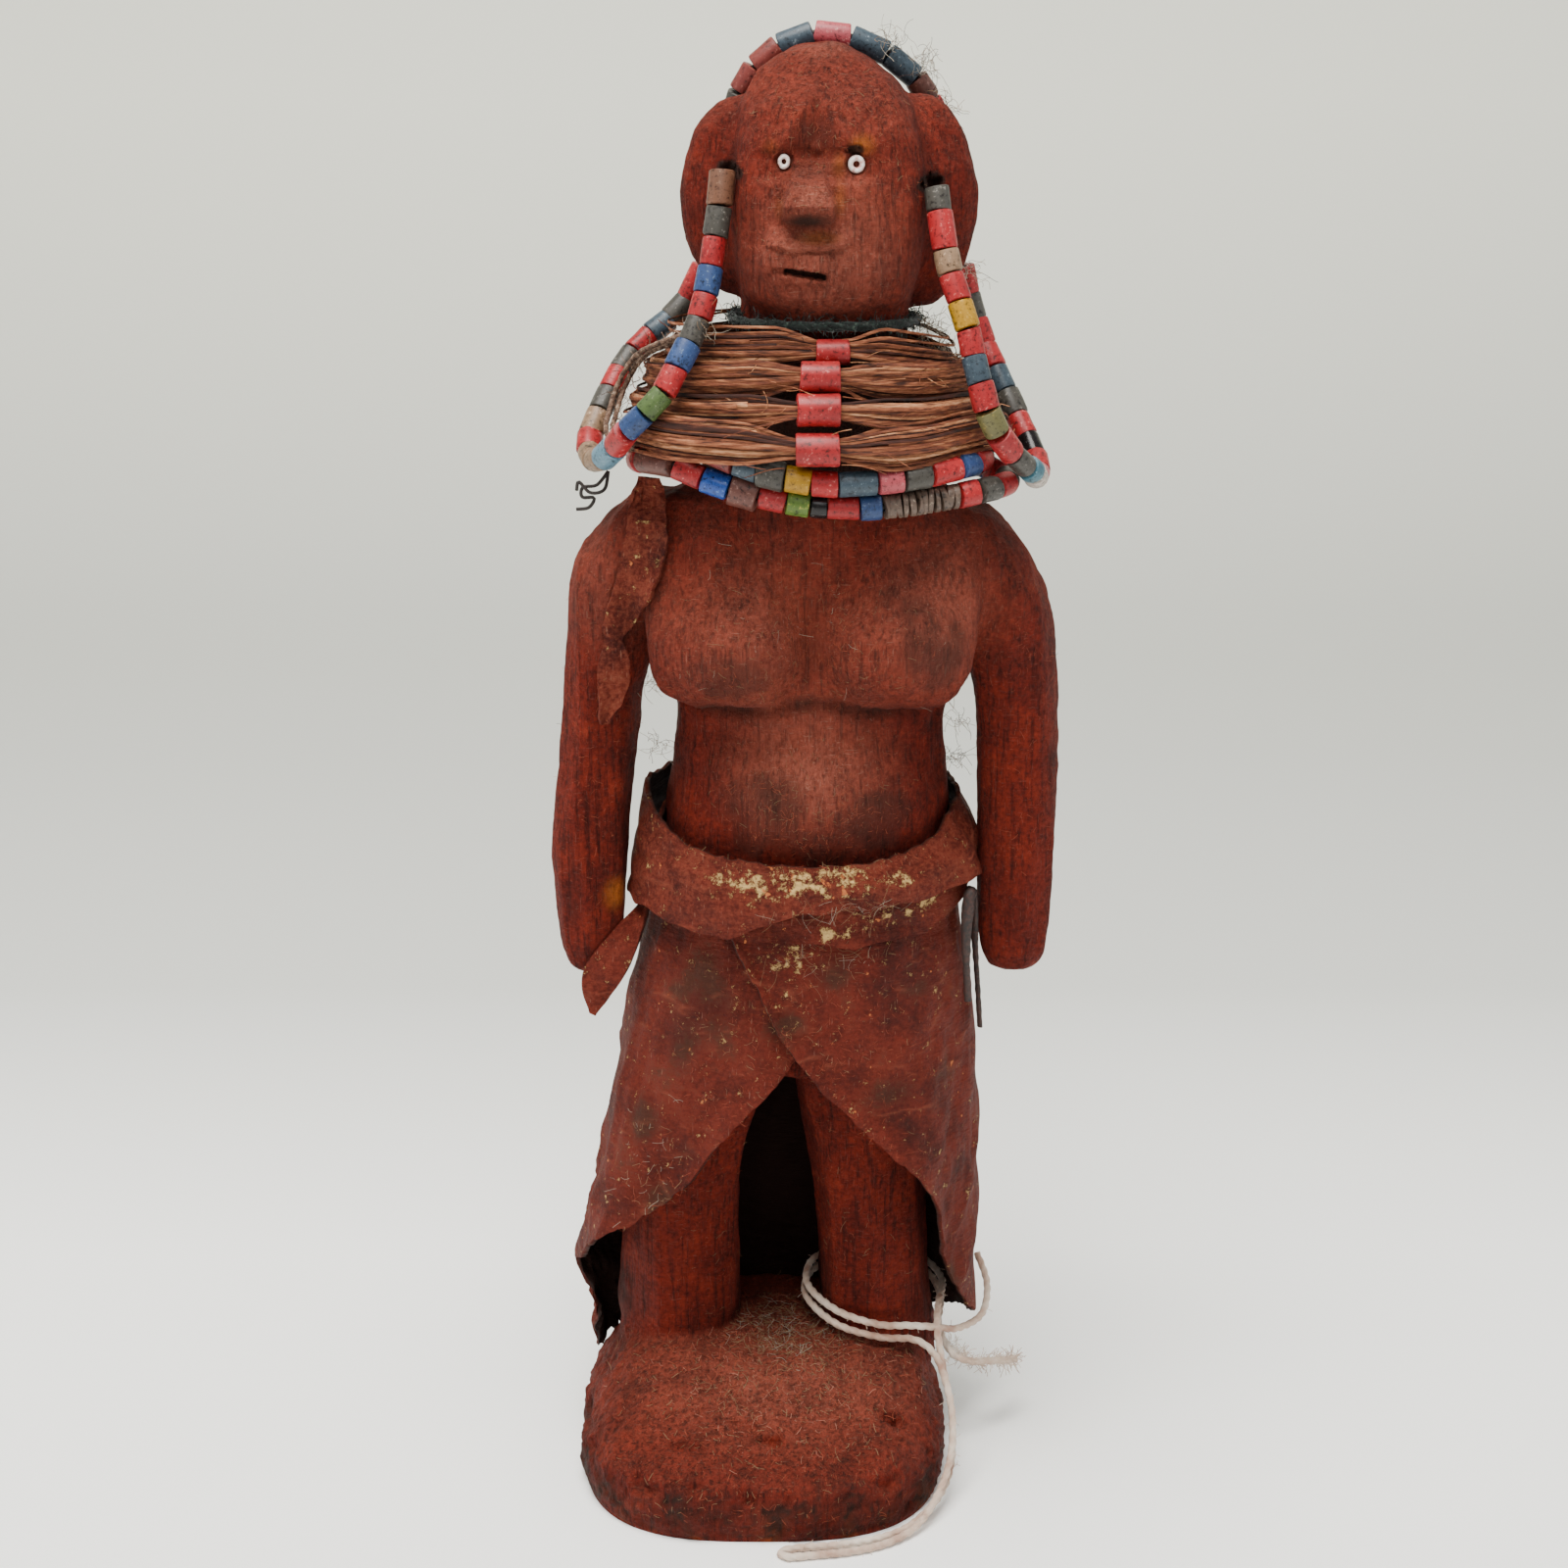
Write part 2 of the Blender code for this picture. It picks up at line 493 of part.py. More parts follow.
def hide_piece(name, grid, closed=False):
    """A sheet of hide from a grid of middle points, columns along and rows across, thickened both ways."""
    grid = np.array(grid)
    columns, rows = grid.shape[:2]
    if closed:
        along = np.roll(grid, -1, axis=0) - np.roll(grid, 1, axis=0)
    else:
        along = np.gradient(grid, axis=0)
    across = np.gradient(grid, axis=1)
    normals = np.cross(along, across)
    normals /= np.linalg.norm(normals, axis=2)[:, :, None]
    points = list((grid + normals * HIDE_THICKNESS / 2).reshape(-1, 3))
    points += list((grid - normals * HIDE_THICKNESS / 2).reshape(-1, 3))
    under = columns * rows
    faces = []

    def corner(column, row):
        return (column % columns) * rows + row

    spans = columns if closed else columns - 1
    for column in range(spans):
        for row in range(rows - 1):
            quad = (corner(column, row), corner(column + 1, row), corner(column + 1, row + 1), corner(column, row + 1))
            faces.append(quad)
            faces.append(tuple(under + point for point in reversed(quad)))
        for row in (0, rows - 1):
            a, b = corner(column, row), corner(column + 1, row)
            faces.append((a, b, under + b, under + a))
    if not closed:
        for column in (0, columns - 1):
            for row in range(rows - 1):
                a, b = corner(column, row), corner(column, row + 1)
                faces.append((a, b, under + b, under + a))
    return solid(name, points, faces, HIDE)


# The wrapped clothing's middle line at each height: half width, half depth, middle x and y, in shares
CLOTHING = ((150, 28.4, 18.6, 9, 9), (140, 29.0, 19.0, 8.9, 9), (128, 29.6, 19.4, 8.6, 9), (118, 30.6, 19.9, 8.4, 9),
            (102, 34.4, 21, 7.6, 9), (95, 35.2, 21.6, 7.2, 9), (70, 38.8, 23.2, 5.5, 9), (40, 41.8, 24.6, 2, 9),
            (27, 42.6, 25, 1, 9.4), (8, 43, 25.6, 0.6, 10))
CLOTHING_SQUARENESS = 2.2


def around(wrap, height, layers=0.0, sag=0.0):
    """A place on the clothing: wrap in degrees from the front towards the doll's right, height in shares."""
    heights = [row[0] for row in reversed(CLOTHING)]
    half_width, half_depth, middle_x, middle_y = (
        np.interp(height, heights, [row[column] for row in reversed(CLOTHING)]) * SHARE for column in (1, 2, 3, 4))
    turn = math.radians(wrap)
    across = math.copysign(abs(math.sin(turn)) ** (2 / CLOTHING_SQUARENESS), math.sin(turn))
    along = math.copysign(abs(math.cos(turn)) ** (2 / CLOTHING_SQUARENESS), math.cos(turn))
    out = layers * LAYER + sag
    return np.array((middle_x - (half_width + out) * across, middle_y - (half_depth + out) * along, height * SHARE))


# Heights of edges round the doll, as pairs of wrap in degrees and height in shares
BELT_TOP = ((0, 134), (40, 136), (70, 142), (90, 144.5), (180, 146), (270, 143.5), (300, 139), (330, 134.5),
            (360, 134))
BELT_BOTTOM = ((0, 126), (14, 122), (24, 119.6), (40, 121), (60, 122.6), (90, 123), (180, 128), (270, 128.6),
               (300, 128), (330, 126.4), (360, 126))
STRIP_TOP = ((-40, 129), (90, 135))
STRIP_BOTTOM = ((-40, 121.4), (-20, 119), (20, 118), (45, 119.8), (70, 123.6), (90, 128))
SKIRT_HEM = ((-25, 121), (-10, 105), (0, 94.5), (10, 84), (18, 77.6), (30, 65), (42, 58.5), (57, 52), (72, 45),
             (90, 39), (97, 36), (104, 24), (112, 12.5), (122, 12), (134, 14), (146, 18.6), (180, 18.4), (205, 19.6),
             (225, 19), (240, 21), (255, 23.6), (270, 26), (280, 30), (292, 38), (302, 46), (310, 54), (317, 62.5),
             (333, 74), (344, 80.7), (352, 87), (360, 94.5), (366, 102), (374, 111), (384, 121))
TUCKED = 3.0
FLAP_STARTS, FLAP_FULL = 295, 330
FOLD_DEPTH = 1.1 * SHARE
FOLDS = 7


def edge_height(edge, wrap):
    return np.interp(wrap, [pair[0] for pair in edge], [pair[1] for pair in edge])


def skirt():
    """One hide wrapped round the hips: its end, over the doll's left, laps over its start at the front."""
    columns, rows = 36, 5
    grid = []
    for column in range(columns):
        wrap = SKIRT_HEM[0][0] + (SKIRT_HEM[-1][0] - SKIRT_HEM[0][0]) * column / (columns - 1)
        top = edge_height(BELT_TOP, wrap % 360) - TUCKED
        hem = edge_height(SKIRT_HEM, wrap)
        lapped = min(max((wrap - FLAP_STARTS) / (FLAP_FULL - FLAP_STARTS), 0), 1)
        strip = []
        for row in range(rows):
            down = row / (rows - 1)
            height = top + (hem - top) * down
            fold = FOLD_DEPTH * math.sin(math.radians(wrap * FOLDS)) * min(max((112 - height) / 60, 0), 1)
            point = around(wrap, height, layers=lapped * lapped * (3 - 2 * lapped), sag=fold)
            strip.append(clear_of_wood(point, HIDE_THICKNESS / 2 + GAP, wood))
        grid.append(strip)
    return hide_piece("skirt", grid)


def belt(name, wraps, top, bottom, layers, closed=False):
    """A strip of hide round the hips, over the skirt."""
    grid = []
    for wrap in wraps:
        edges = (edge_height(top, wrap), edge_height(bottom, wrap))
        grid.append([around(wrap, height, layers) for height in edges])
    return hide_piece(name, grid, closed)


skirt()
strip_wraps = np.linspace(-STRIP_BOTTOM[-1][0], -STRIP_BOTTOM[0][0], 12)
belt("belt_inner_strip", strip_wraps, [(-wrap, high) for wrap, high in reversed(STRIP_TOP)],
     [(-wrap, low) for wrap, low in reversed(STRIP_BOTTOM)], layers=2)
belt("belt_outer_strip", np.arange(0, 360, 15), BELT_TOP, BELT_BOTTOM, layers=3, closed=True)

# The hide strip over the doll's right shoulder, as pairs of height and the x of its two edges
SHOULDER_STRAP = ((207.5, -22.8, -18.8), (203, -24.4, -17.8), (195.7, -25.4, -17.4), (188, -27.4, -19.8),
                  (181, -29.6, -23.4), (177, -29.6, -26.2), (172, -31, -25), (166, -31, -26), (160, -30.9, -29.3))
STRAP_ROWS = 3


def shoulder_strap():
    """The strip laid on the chest: each point is found by a line from the front that meets the wood."""
    grid = []
    for height, outer_x, inner_x in SHOULDER_STRAP:
        strip = []
        for row in range(STRAP_ROWS):
            x = outer_x + (inner_x - outer_x) * row / (STRAP_ROWS - 1)
            start = Vector((x * SHARE, -DOLL_HEIGHT, height * SHARE))
            met, _, _, _ = wood.ray_cast(start, Vector((0, 1, 0)))
            if met is None:
                # Above the shoulder's edge the strip carries on from the nearest wood
                met, _, _, _ = wood.find_nearest(Vector((start.x, 0, start.z)))
            strip.append((start.x, met.y - HIDE_THICKNESS / 2 - 3 * GAP, start.z))
        grid.append(strip)
    return hide_piece("shoulder_strap", [[clear_of_wood(np.array(point), HIDE_THICKNESS / 2 + 3 * GAP, wood)
                                          for point in strip] for strip in grid])


shoulder_strap()

# The hide tie that hangs from the belt at the doll's right hip, by its outer and inner edge
HIP_TIE = (((-22.6, 5.6, 125), (-21.8, 1.4, 125)), ((-24.0, 4.4, 120.6), (-23, -0.4, 119)),
           ((-29, 0, 116.6), (-25, -3, 113)), ((-35.5, -2.6, 109), (-27.4, -3.8, 107)),
           ((-35.4, -3, 101), (-31.6, -3.4, 100)))


def hip_tie():
    grid = []
    for outer, inner in HIP_TIE:
        outer, inner = np.array(outer) * SHARE, np.array(inner) * SHARE
        grid.append([clear_of_wood(outer + (inner - outer) * row / 2, HIDE_THICKNESS / 2 + GAP, wood)
                     for row in range(3)])
    return hide_piece("hip_tie", grid)


hip_tie()

# The thong folded over the belt at the doll's left hip: up one strand and down the other
HIP_THONG = in_shares((
    (43.9, 1.2, 95), (43.2, 0.6, 104), (42.4, -0.4, 113), (41.9, -1.2, 121), (41.5, -1.8, 125.4),
    (40.7, -3.6, 124.4), (40.3, -4, 117), (40.6, -3.6, 109), (41, -3.4, 102.5)))


def hip_thong():
    line = even_line(HIP_THONG, 5 * SHARE)
    return swept("hip_thong", line, [THONG_WIDTH / 2] * len(line), 5, HIDE)


hip_thong()

# The cotton string: from its first end round the ankle, down to a loop on the ground, back up and round again
STRING_ROUTE = in_shares((
    (46.4, 23, 32), (48.2, 17, 28), (46.6, 9.6, 24.8), (41, 2.6, 25.4), (36, -1.4, 28), (30.4, -3.2, 29.4), (24, -3.8, 30),
    (15.6, -0.6, 31.4), (9.6, 8, 32.6), (10.6, 17.4, 33), (17, 24.4, 33), (26, 25.6, 32.4), (34.6, 21.4, 31.6),
    (38.2, 13, 31.2), (37, 4.4, 30.8), (36.4, -1.4, 28), (37.4, -6, 21.6), (39, -10, 14.6), (39.2, -14.6, 9),
    (38.4, -19.4, 5.4), (36.4, -24.2, 3.2), (33.2, -28.8, 1.8), (28.6, -33.4, 0.9), (22.6, -36.9, 0.9), (15, -38.9, 0.9),
    (9, -39.6, 0.9), (5, -40.4, 0.9), (3.6, -41.6, 0.9), (5.4, -42.8, 0.9), (10.4, -42.2, 0.9), (17.6, -41, 0.9),
    (24.6, -38.4, 0.9), (30.4, -34.2, 1.6), (34.4, -29.2, 3.8), (37.2, -23.6, 6.6), (38.8, -18, 10), (39, -13, 15),
    (37.6, -8.8, 20.4), (35.6, -5.4, 24), (31.6, -3.8, 26.4),
    (24, -4, 27.2), (15.2, -1, 28.6), (9.2, 8, 30), (10.2, 17.8, 30.4), (17, 24.8, 30.2), (26, 26, 29.6),
    (34.8, 21.6, 28.8), (37.9, 13, 27.6), (37.2, 5.6, 24.4), (39.8, 1, 20.4), (44.2, 1, 18.4), (49.4, 4.4, 16.6),
    (54, 8.6, 14.4)))


def ankle_string():
    """A tube that follows the string's route, kept clear of the wood."""
    radius = STRING_DIAMETER / 2
    line = settled(even_line(STRING_ROUTE, 3 * STRING_DIAMETER), radius, wood, [])
    line[:, 2] = np.maximum(line[:, 2], radius)
    curve = bpy.data.curves.new("ankle_string", "CURVE")
    curve.dimensions = "3D"
    curve.bevel_depth = radius
    curve.bevel_resolution = 2
    curve.use_fill_caps = True
    spline = curve.splines.new("POLY")
    spline.points.add(len(line) - 1)
    for point, place_of_it in zip(spline.points, line):
        point.co = (*place_of_it, 1.0)
    curve.materials.append(COTTON)
    string = bpy.data.objects.new("ankle_string", curve)
    bpy.context.collection.objects.link(string)
    return string


ankle_string()

# The eyes are let in last, so that the strands above are laid on the same wood
EYES = (("eye_bead_right", 4.4, 265.4), ("eye_bead_left", 17.3, 265.0))
for (name, x, z), diameter in zip(EYES, EYE_BEAD_DIAMETERS):
    eye(name, figure, x * SHARE, z * SHARE, diameter)
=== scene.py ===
import math

import bmesh
import bpy
import numpy as np
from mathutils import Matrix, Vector, noise
from mathutils.bvhtree import BVHTree


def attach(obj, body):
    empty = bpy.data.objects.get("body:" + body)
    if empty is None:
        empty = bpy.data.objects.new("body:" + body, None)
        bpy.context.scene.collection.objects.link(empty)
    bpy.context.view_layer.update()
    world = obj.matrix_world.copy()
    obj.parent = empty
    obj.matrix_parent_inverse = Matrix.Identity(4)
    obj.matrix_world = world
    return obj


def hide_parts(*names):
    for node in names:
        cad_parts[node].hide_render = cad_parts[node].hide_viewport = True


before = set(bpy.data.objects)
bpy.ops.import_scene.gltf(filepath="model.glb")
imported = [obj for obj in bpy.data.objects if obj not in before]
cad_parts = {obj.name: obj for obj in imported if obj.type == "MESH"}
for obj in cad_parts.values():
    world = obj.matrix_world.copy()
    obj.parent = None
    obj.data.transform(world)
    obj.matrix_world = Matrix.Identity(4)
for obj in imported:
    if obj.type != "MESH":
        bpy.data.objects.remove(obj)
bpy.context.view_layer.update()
chance = np.random.default_rng(41)

# The doll stands on a sweep of matt white paper that bends up behind it.
# Soft daylight comes from above and from both sides, and the camera looks a little down at the doll from in front.
MM = 0.001


def linear(code):
    """An sRGB hex colour as linear red, green, blue and alpha."""
    parts = [int(code[at:at + 2], 16) / 255 for at in (1, 3, 5)]
    return (*(part / 12.92 if part <= 0.04045 else ((part + 0.055) / 1.055) ** 2.4 for part in parts), 1.0)


def matter(name):
    """A new material with an empty tree, and the one function that adds its nodes."""
    made = bpy.data.materials.new(name)
    made.use_nodes = True
    tree = made.node_tree
    tree.nodes.clear()

    def add(kind, inputs, out=0, stops=(), **settings):
        """A node, of which one output is given back. Inputs take a number, a hex colour or another node's output."""
        node = tree.nodes.new("ShaderNode" + kind)
        for setting, value in settings.items():
            setattr(node, setting, value)
        if stops:
            ends = node.color_ramp.elements
            places = [(place, linear(code)) for place, code in stops]
            (ends[0].position, ends[0].color), (ends[1].position, ends[1].color) = places[0], places[-1]
            for place, colour in places[1:-1]:
                ends.new(place).color = colour
        for socket, value in inputs.items():
            if isinstance(value, bpy.types.NodeSocket):
                tree.links.new(value, node.inputs[socket])
            else:
                node.inputs[socket].default_value = linear(value) if isinstance(value, str) else value
        return node.outputs[out] if node.outputs else node

    return made, add


def per(*millimetres):
    """The scale at which a pattern repeats once in so many millimetres, the same all ways or along X, Y and Z."""
    scales = tuple(1 / (size * MM) for size in millimetres)
    return scales if len(scales) > 1 else scales[0]


PAPER_WIDTH, PAPER_FRONT, PAPER_BEND, PAPER_BACK, PAPER_TOP = 8.0, -5.0, 0.62, 1.05, 1.9
paper, add = matter("matt white paper")
# Uncoated paper: almost no gloss and a faint tooth that is drawn as coarse as it needs to be seen. Its colour is
# painted shade and light: near white at the front, greyer further back and up the bend, and paler again at the top
tooth = add("TexNoise", {"Scale": per(3), "Detail": 3.0})
rise = add("Bump", {"Height": tooth, "Strength": 0.05, "Distance": 0.1 * MM})
spot = add("TexCoord", {}, "Object")
climb = add("VectorMath", {0: spot, 1: (0, 1, 1)}, "Value", operation="DOT_PRODUCT")
along = add("MapRange", {"Value": climb, "From Min": -0.1, "From Max": 1.3})
painted_light_ramp = add("ValToRGB", {"Fac": along}, stops=(
    (0.04, "#fefefc"), (0.13, "#fcfcfa"), (0.25, "#cccdc9"), (0.42, "#c6c7c2"),
    (0.575, "#c9cac4"), (0.945, "#efefe3")))
coat = add("BsdfPrincipled", {"Base Color": painted_light_ramp, "Roughness": 0.9, "Specular IOR Level": 0.2, "Normal": rise})
add("OutputMaterial", {"Surface": coat})
profile = [(PAPER_FRONT, 0.0), (PAPER_BEND, 0.0)]
for step in range(1, 17):
    turn = math.pi / 2 * step / 16
    profile.append((PAPER_BEND + (PAPER_BACK - PAPER_BEND) * math.sin(turn),
                    (PAPER_BACK - PAPER_BEND) * (1 - math.cos(turn))))
profile.append((PAPER_BACK, PAPER_TOP))
points = [(side * PAPER_WIDTH / 2, y, z) for y, z in profile for side in (-1, 1)]
faces = [(2 * row, 2 * row + 1, 2 * row + 3, 2 * row + 2) for row in range(len(profile) - 1)]
mesh = bpy.data.meshes.new("paper_sweep")
mesh.from_pydata(points, [], faces)
mesh.materials.append(paper)
mesh.shade_smooth()
sweep = bpy.data.objects.new("paper_sweep", mesh)
bpy.context.collection.objects.link(sweep)

# Place, size across, height, watts and colour of each soft light; all are aimed at the doll's middle
LIGHTS = (
    ("light_above", (-0.15, -0.22, 1.2), 0.7, 0.7, 29.5, "#fffcf6"),
    ("light_left", (-1.2, -0.2, 0.6), 0.8, 1.2, 3.8, "#f6fbff"),
    ("light_right", (1.2, -0.1, 0.6), 0.8, 1.2, 3.4, "#f6fbff"),
    ("light_front", (0.1, -1.4, 1.1), 0.8, 0.5, 5.4, "#ffffff"))
for name, place, across, tall, watts, colour in LIGHTS:
    data = bpy.data.lights.new(name, "AREA")
    data.shape = "RECTANGLE"
    data.size, data.size_y = across, tall
    data.energy = watts
    data.color = linear(colour)[:3]
    light = bpy.data.objects.new(name, data)
    light.location = place
    light.rotation_euler = (Vector((0, 0, 0.14)) - Vector(place)).to_track_quat("-Z", "Y").to_euler()
    bpy.context.collection.objects.link(light)
world = bpy.data.worlds.new("pale room")
world.use_nodes = True
room = world.node_tree.nodes["Background"]
room.inputs["Color"].default_value = linear("#f2f4f2")
room.inputs["Strength"].default_value = 0.46
bpy.context.scene.world = world

CAMERA_PLACE, CAMERA_DOWN, CAMERA_LENS = (0.0044, -0.470, 0.300), 18.05, 58.23
data = bpy.data.cameras.new("camera")
data.lens = CAMERA_LENS
data.sensor_width = 36.0
camera = bpy.data.objects.new("camera", data)
camera.location = CAMERA_PLACE
camera.rotation_euler = (math.radians(90 - CAMERA_DOWN), 0, 0)
bpy.context.collection.objects.link(camera)
bpy.context.scene.camera = camera

# The figure and its base are carved from one log of light, straight-grained wood with a knife and an adze, and
# rubbed all over with red ochre and fat. Each form is a stack of level rings that runs into the next: height,
# middle x, middle y, half width and half depth in millimetres.
LEG_RIGHT = (
    (16, -17.5, 11, 13, 13), (24, -17.8, 11, 12.4, 12.5), (37, -17.6, 11, 11.8, 12), (47, -17.4, 11, 11.6, 12),
    (58, -16.8, 11, 11.6, 12.5), (70, -15, 10.5, 12, 13), (82, -12.5, 10, 13.2, 14), (96, -8, 9.5, 17, 15.5))
LEG_LEFT = (
    (16, 24, 11, 13, 13), (24, 24, 11, 12, 12.5), (37, 23.5, 11, 11, 12), (47, 23.2, 11, 11.1, 12),
    (58, 22.6, 11, 11.2, 12.5), (70, 21.5, 10.5, 11.6, 13), (82, 20.2, 10, 12.4, 14), (96, 18.5, 9.5, 16.5, 15.5))
TRUNK = (
    (86, 8, 9.5, 23, 14), (100, 8, 9, 27, 16.5), (115, 8.2, 9, 28, 17.6), (128, 8.6, 9, 28.2, 18),
    (140, 9, 9, 27.8, 18.4), (150, 9.2, 9, 26.6, 17.4), (158, 9.4, 9, 26, 16), (166, 9.6, 9, 26.6, 16),
    (172, 9.8, 9, 29.4, 16.6), (179, 10, 9, 33, 17), (189, 10, 9, 34, 16.6), (196, 10, 8.6, 31, 15.4),
    (203, 10.2, 8.2, 26, 14.4), (209, 10.4, 7.8, 21, 13.8), (215, 10.6, 7.5, 17.5, 13.5))
NECK = (
    (205, 10.4, 7, 17.5, 13.6), (222, 11.2, 6.8, 16.2, 13.4), (234, 11.8, 6.5, 15.6, 13.4),
    (246, 12.4, 6.5, 15.4, 13))
ARM_RIGHT = (
    (203, -17, 8, 6, 8), (199.5, -19.4, 8, 8.8, 10), (195, -21.6, 8, 10.2, 11), (191, -24, 8, 11, 11.6),
    (186, -25.6, 8, 11, 11.4), (178, -28, 8, 9.3, 10), (164, -30.9, 8, 7.6, 8.5), (150, -32.4, 7.5, 7.2, 8),
    (134, -33.8, 6, 6.9, 7.5), (122, -33.9, 5, 6.5, 6.6), (113, -34.2, 4.5, 5.6, 5.6),
    (108.8, -34.6, 4.5, 4, 4.4), (108.2, -34.7, 4.5, 2.6, 3))
ARM_LEFT = (
    (202, 33, 8, 6, 8), (199, 36, 8, 9, 10), (195, 38.5, 8, 10, 11), (190, 41, 8, 10.6, 11.6),
    (184, 44.4, 8, 10.8, 11.4), (178, 46.7, 8, 9.8, 10.4), (170, 48.9, 8, 8.3, 9), (160, 50.2, 8, 7.5, 8.5),
    (145, 50.7, 7.5, 7.2, 8), (130, 50.9, 6, 6.9, 7.5), (118, 50.8, 5, 6.6, 6.6), (111, 50.6, 4.5, 5.8, 5.6),
    (107.4, 50.3, 4.5, 4.2, 4.4), (106.8, 50.3, 4.5, 2.8, 3))
FACE = (
    (238.2, 12, 3, 11, 9), (240.6, 12.3, 2.6, 15.4, 11.8), (246, 12.5, 2.8, 17, 12.6),
    (254, 12.6, 3.4, 17.4, 12.8), (262, 12.6, 4.4, 17.3, 12.8), (269, 12.5, 6.4, 16.7, 14),
    (275, 12.3, 9, 15.3, 13.6), (279.4, 11.9, 11, 12.6, 11.2), (282.8, 11.3, 12, 8.6, 8),
    (285, 10.8, 12.4, 4.4, 4.4))
SKULL = (
    (239, 12.4, 13, 14.6, 12), (250, 12.5, 13.5, 17, 14), (265, 12.5, 13.5, 17.2, 14.5),
    (273, 12.2, 13.5, 15.2, 13), (279, 11.8, 13.5, 11.4, 10), (282, 11.3, 13.5, 6.5, 6))
MUZZLE = (
    (240, 10.6, -5, 7, 4.6), (243, 10, -6.6, 9, 4.6), (247, 9.4, -7.4, 9.5, 4.4), (250.6, 9.2, -7.4, 9, 3.6),
    (253, 9, -6.4, 7.5, 2.6))
# Both breasts have these rings, and each its own middle x
BREAST = (
    (164.6, -4.4, 8, 3.2), (166.6, -5.4, 12, 5.6), (171, -6, 14.4, 7.2), (178, -5.6, 15.4, 7.4),
    (187, -3.4, 15.6, 6.6), (196, -1, 14, 5.6), (204, 1.6, 11, 5))
BASE = (
    (-3.6, 0, 0, 36.7, 36.2), (0, 0, 0, 37, 36.6), (4.2, 0, 0, 38, 37.5), (10.2, 0, 0, 37.6, 37.1),
    (12, 0, 0, 36.7, 36.2), (14.2, 0.2, 1, 35.5, 34.3), (18, 0.9, 4, 33.6, 29.3), (22.2, 1.7, 7, 31.2, 23.3),
    (25.2, 2.2, 10, 28.1, 15.8))
EAR_DISCS = (((-3.6, 12.5, 257.6), (11.2, 7.5, 18.6)), ((29.2, 12.5, 256.8), (11.3, 7.5, 19.6)))
FIGURE_GRAIN = 0.98
AIR_GAP = 0.3


def ring_faces(rings, sides, closed=False):
    """The faces between rings of points, each ring joined to the next."""
    faces = []
    for ring in range(rings if closed else rings - 1):
        this, following = ring * sides, (ring + 1) % rings * sides
        faces += [(this + side, this + (side + 1) % sides, following + (side + 1) % sides, following + side)
                  for side in range(sides)]
    return faces


def loft(stations, squareness=2.2, sides=72):
    """A closed form through level rings; squareness 2 gives ellipses, and more gives fuller corners."""
    turns = np.linspace(0, 2 * math.pi, sides, endpoint=False)
    across = np.sign(np.cos(turns)) * np.abs(np.cos(turns)) ** (2 / squareness)
    along = np.sign(np.sin(turns)) * np.abs(np.sin(turns)) ** (2 / squareness)
    points = np.concatenate([np.stack([x + width * across, y + depth * along, np.full(sides, float(height))], axis=1)
                             for height, x, y, width, depth in stations])
    ends = [tuple(reversed(range(sides))), tuple(range((len(stations) - 1) * sides, len(stations) * sides))]
    return points, ring_faces(len(stations), sides) + ends


def piece(name, shapes, materials, sharp=50.0):
    """One object that rides on the doll, from shapes: each is its points in millimetres, its faces, its material."""
    points, faces, kinds, start = [], [], [], 0
    for shape_points, shape_faces, kind in shapes:
        points.append(np.asarray(shape_points, float))
        faces += [tuple(start + corner for corner in face) for face in shape_faces]
        kinds += [kind] * len(shape_faces)
        start += len(shape_points)
    mesh = bpy.data.meshes.new(name)
    mesh.from_pydata((np.concatenate(points) * MM).tolist(), [], faces)
    for material in materials:
        mesh.materials.append(material)
    mesh.polygons.foreach_set("material_index", kinds)
    mesh.shade_smooth()
    mesh.set_sharp_from_angle(angle=math.radians(sharp))
    made = bpy.data.objects.new(name, mesh)
    bpy.context.collection.objects.link(made)
    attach(made, "root")
    return made


def eggs():
    """The two ear discs, as ellipsoids of level rings."""
    for middle, halves in EAR_DISCS:
        rises = np.linspace(-math.pi / 2, math.pi / 2, 21)
        yield [(middle[2] + halves[2] * math.sin(rise), middle[0], middle[1], halves[0] * max(math.cos(rise), 0.05),
                halves[1] * max(math.cos(rise), 0.05)) for rise in rises]


forms = [loft(stations) for stations in (LEG_RIGHT, LEG_LEFT, TRUNK, NECK, SKULL, MUZZLE)]
forms += [loft(stations[::-1], 2.3) for stations in (ARM_RIGHT, ARM_LEFT)]
forms += [loft(FACE, 2.7), loft(BASE, 2.9)] + [loft(stations, 2.0) for stations in eggs()]
forms += [loft([(height, x, y, width, depth) for height, y, width, depth in BREAST], 2.1) for x in (-6.6, 25.6)]
rough = piece("rough_figure", [(points, faces, 0) for points, faces in forms], [])
joined = rough.modifiers.new("joined", "REMESH")
joined.mode = "VOXEL"
joined.voxel_size = FIGURE_GRAIN * MM
evened = rough.modifiers.new("evened", "SMOOTH")
evened.factor = 0.5
evened.iterations = 9
bpy.context.view_layer.update()
carved = bmesh.new()
carved.from_mesh(rough.evaluated_get(bpy.context.evaluated_depsgraph_get()).to_mesh())
bpy.data.objects.remove(rough, do_unlink=True)

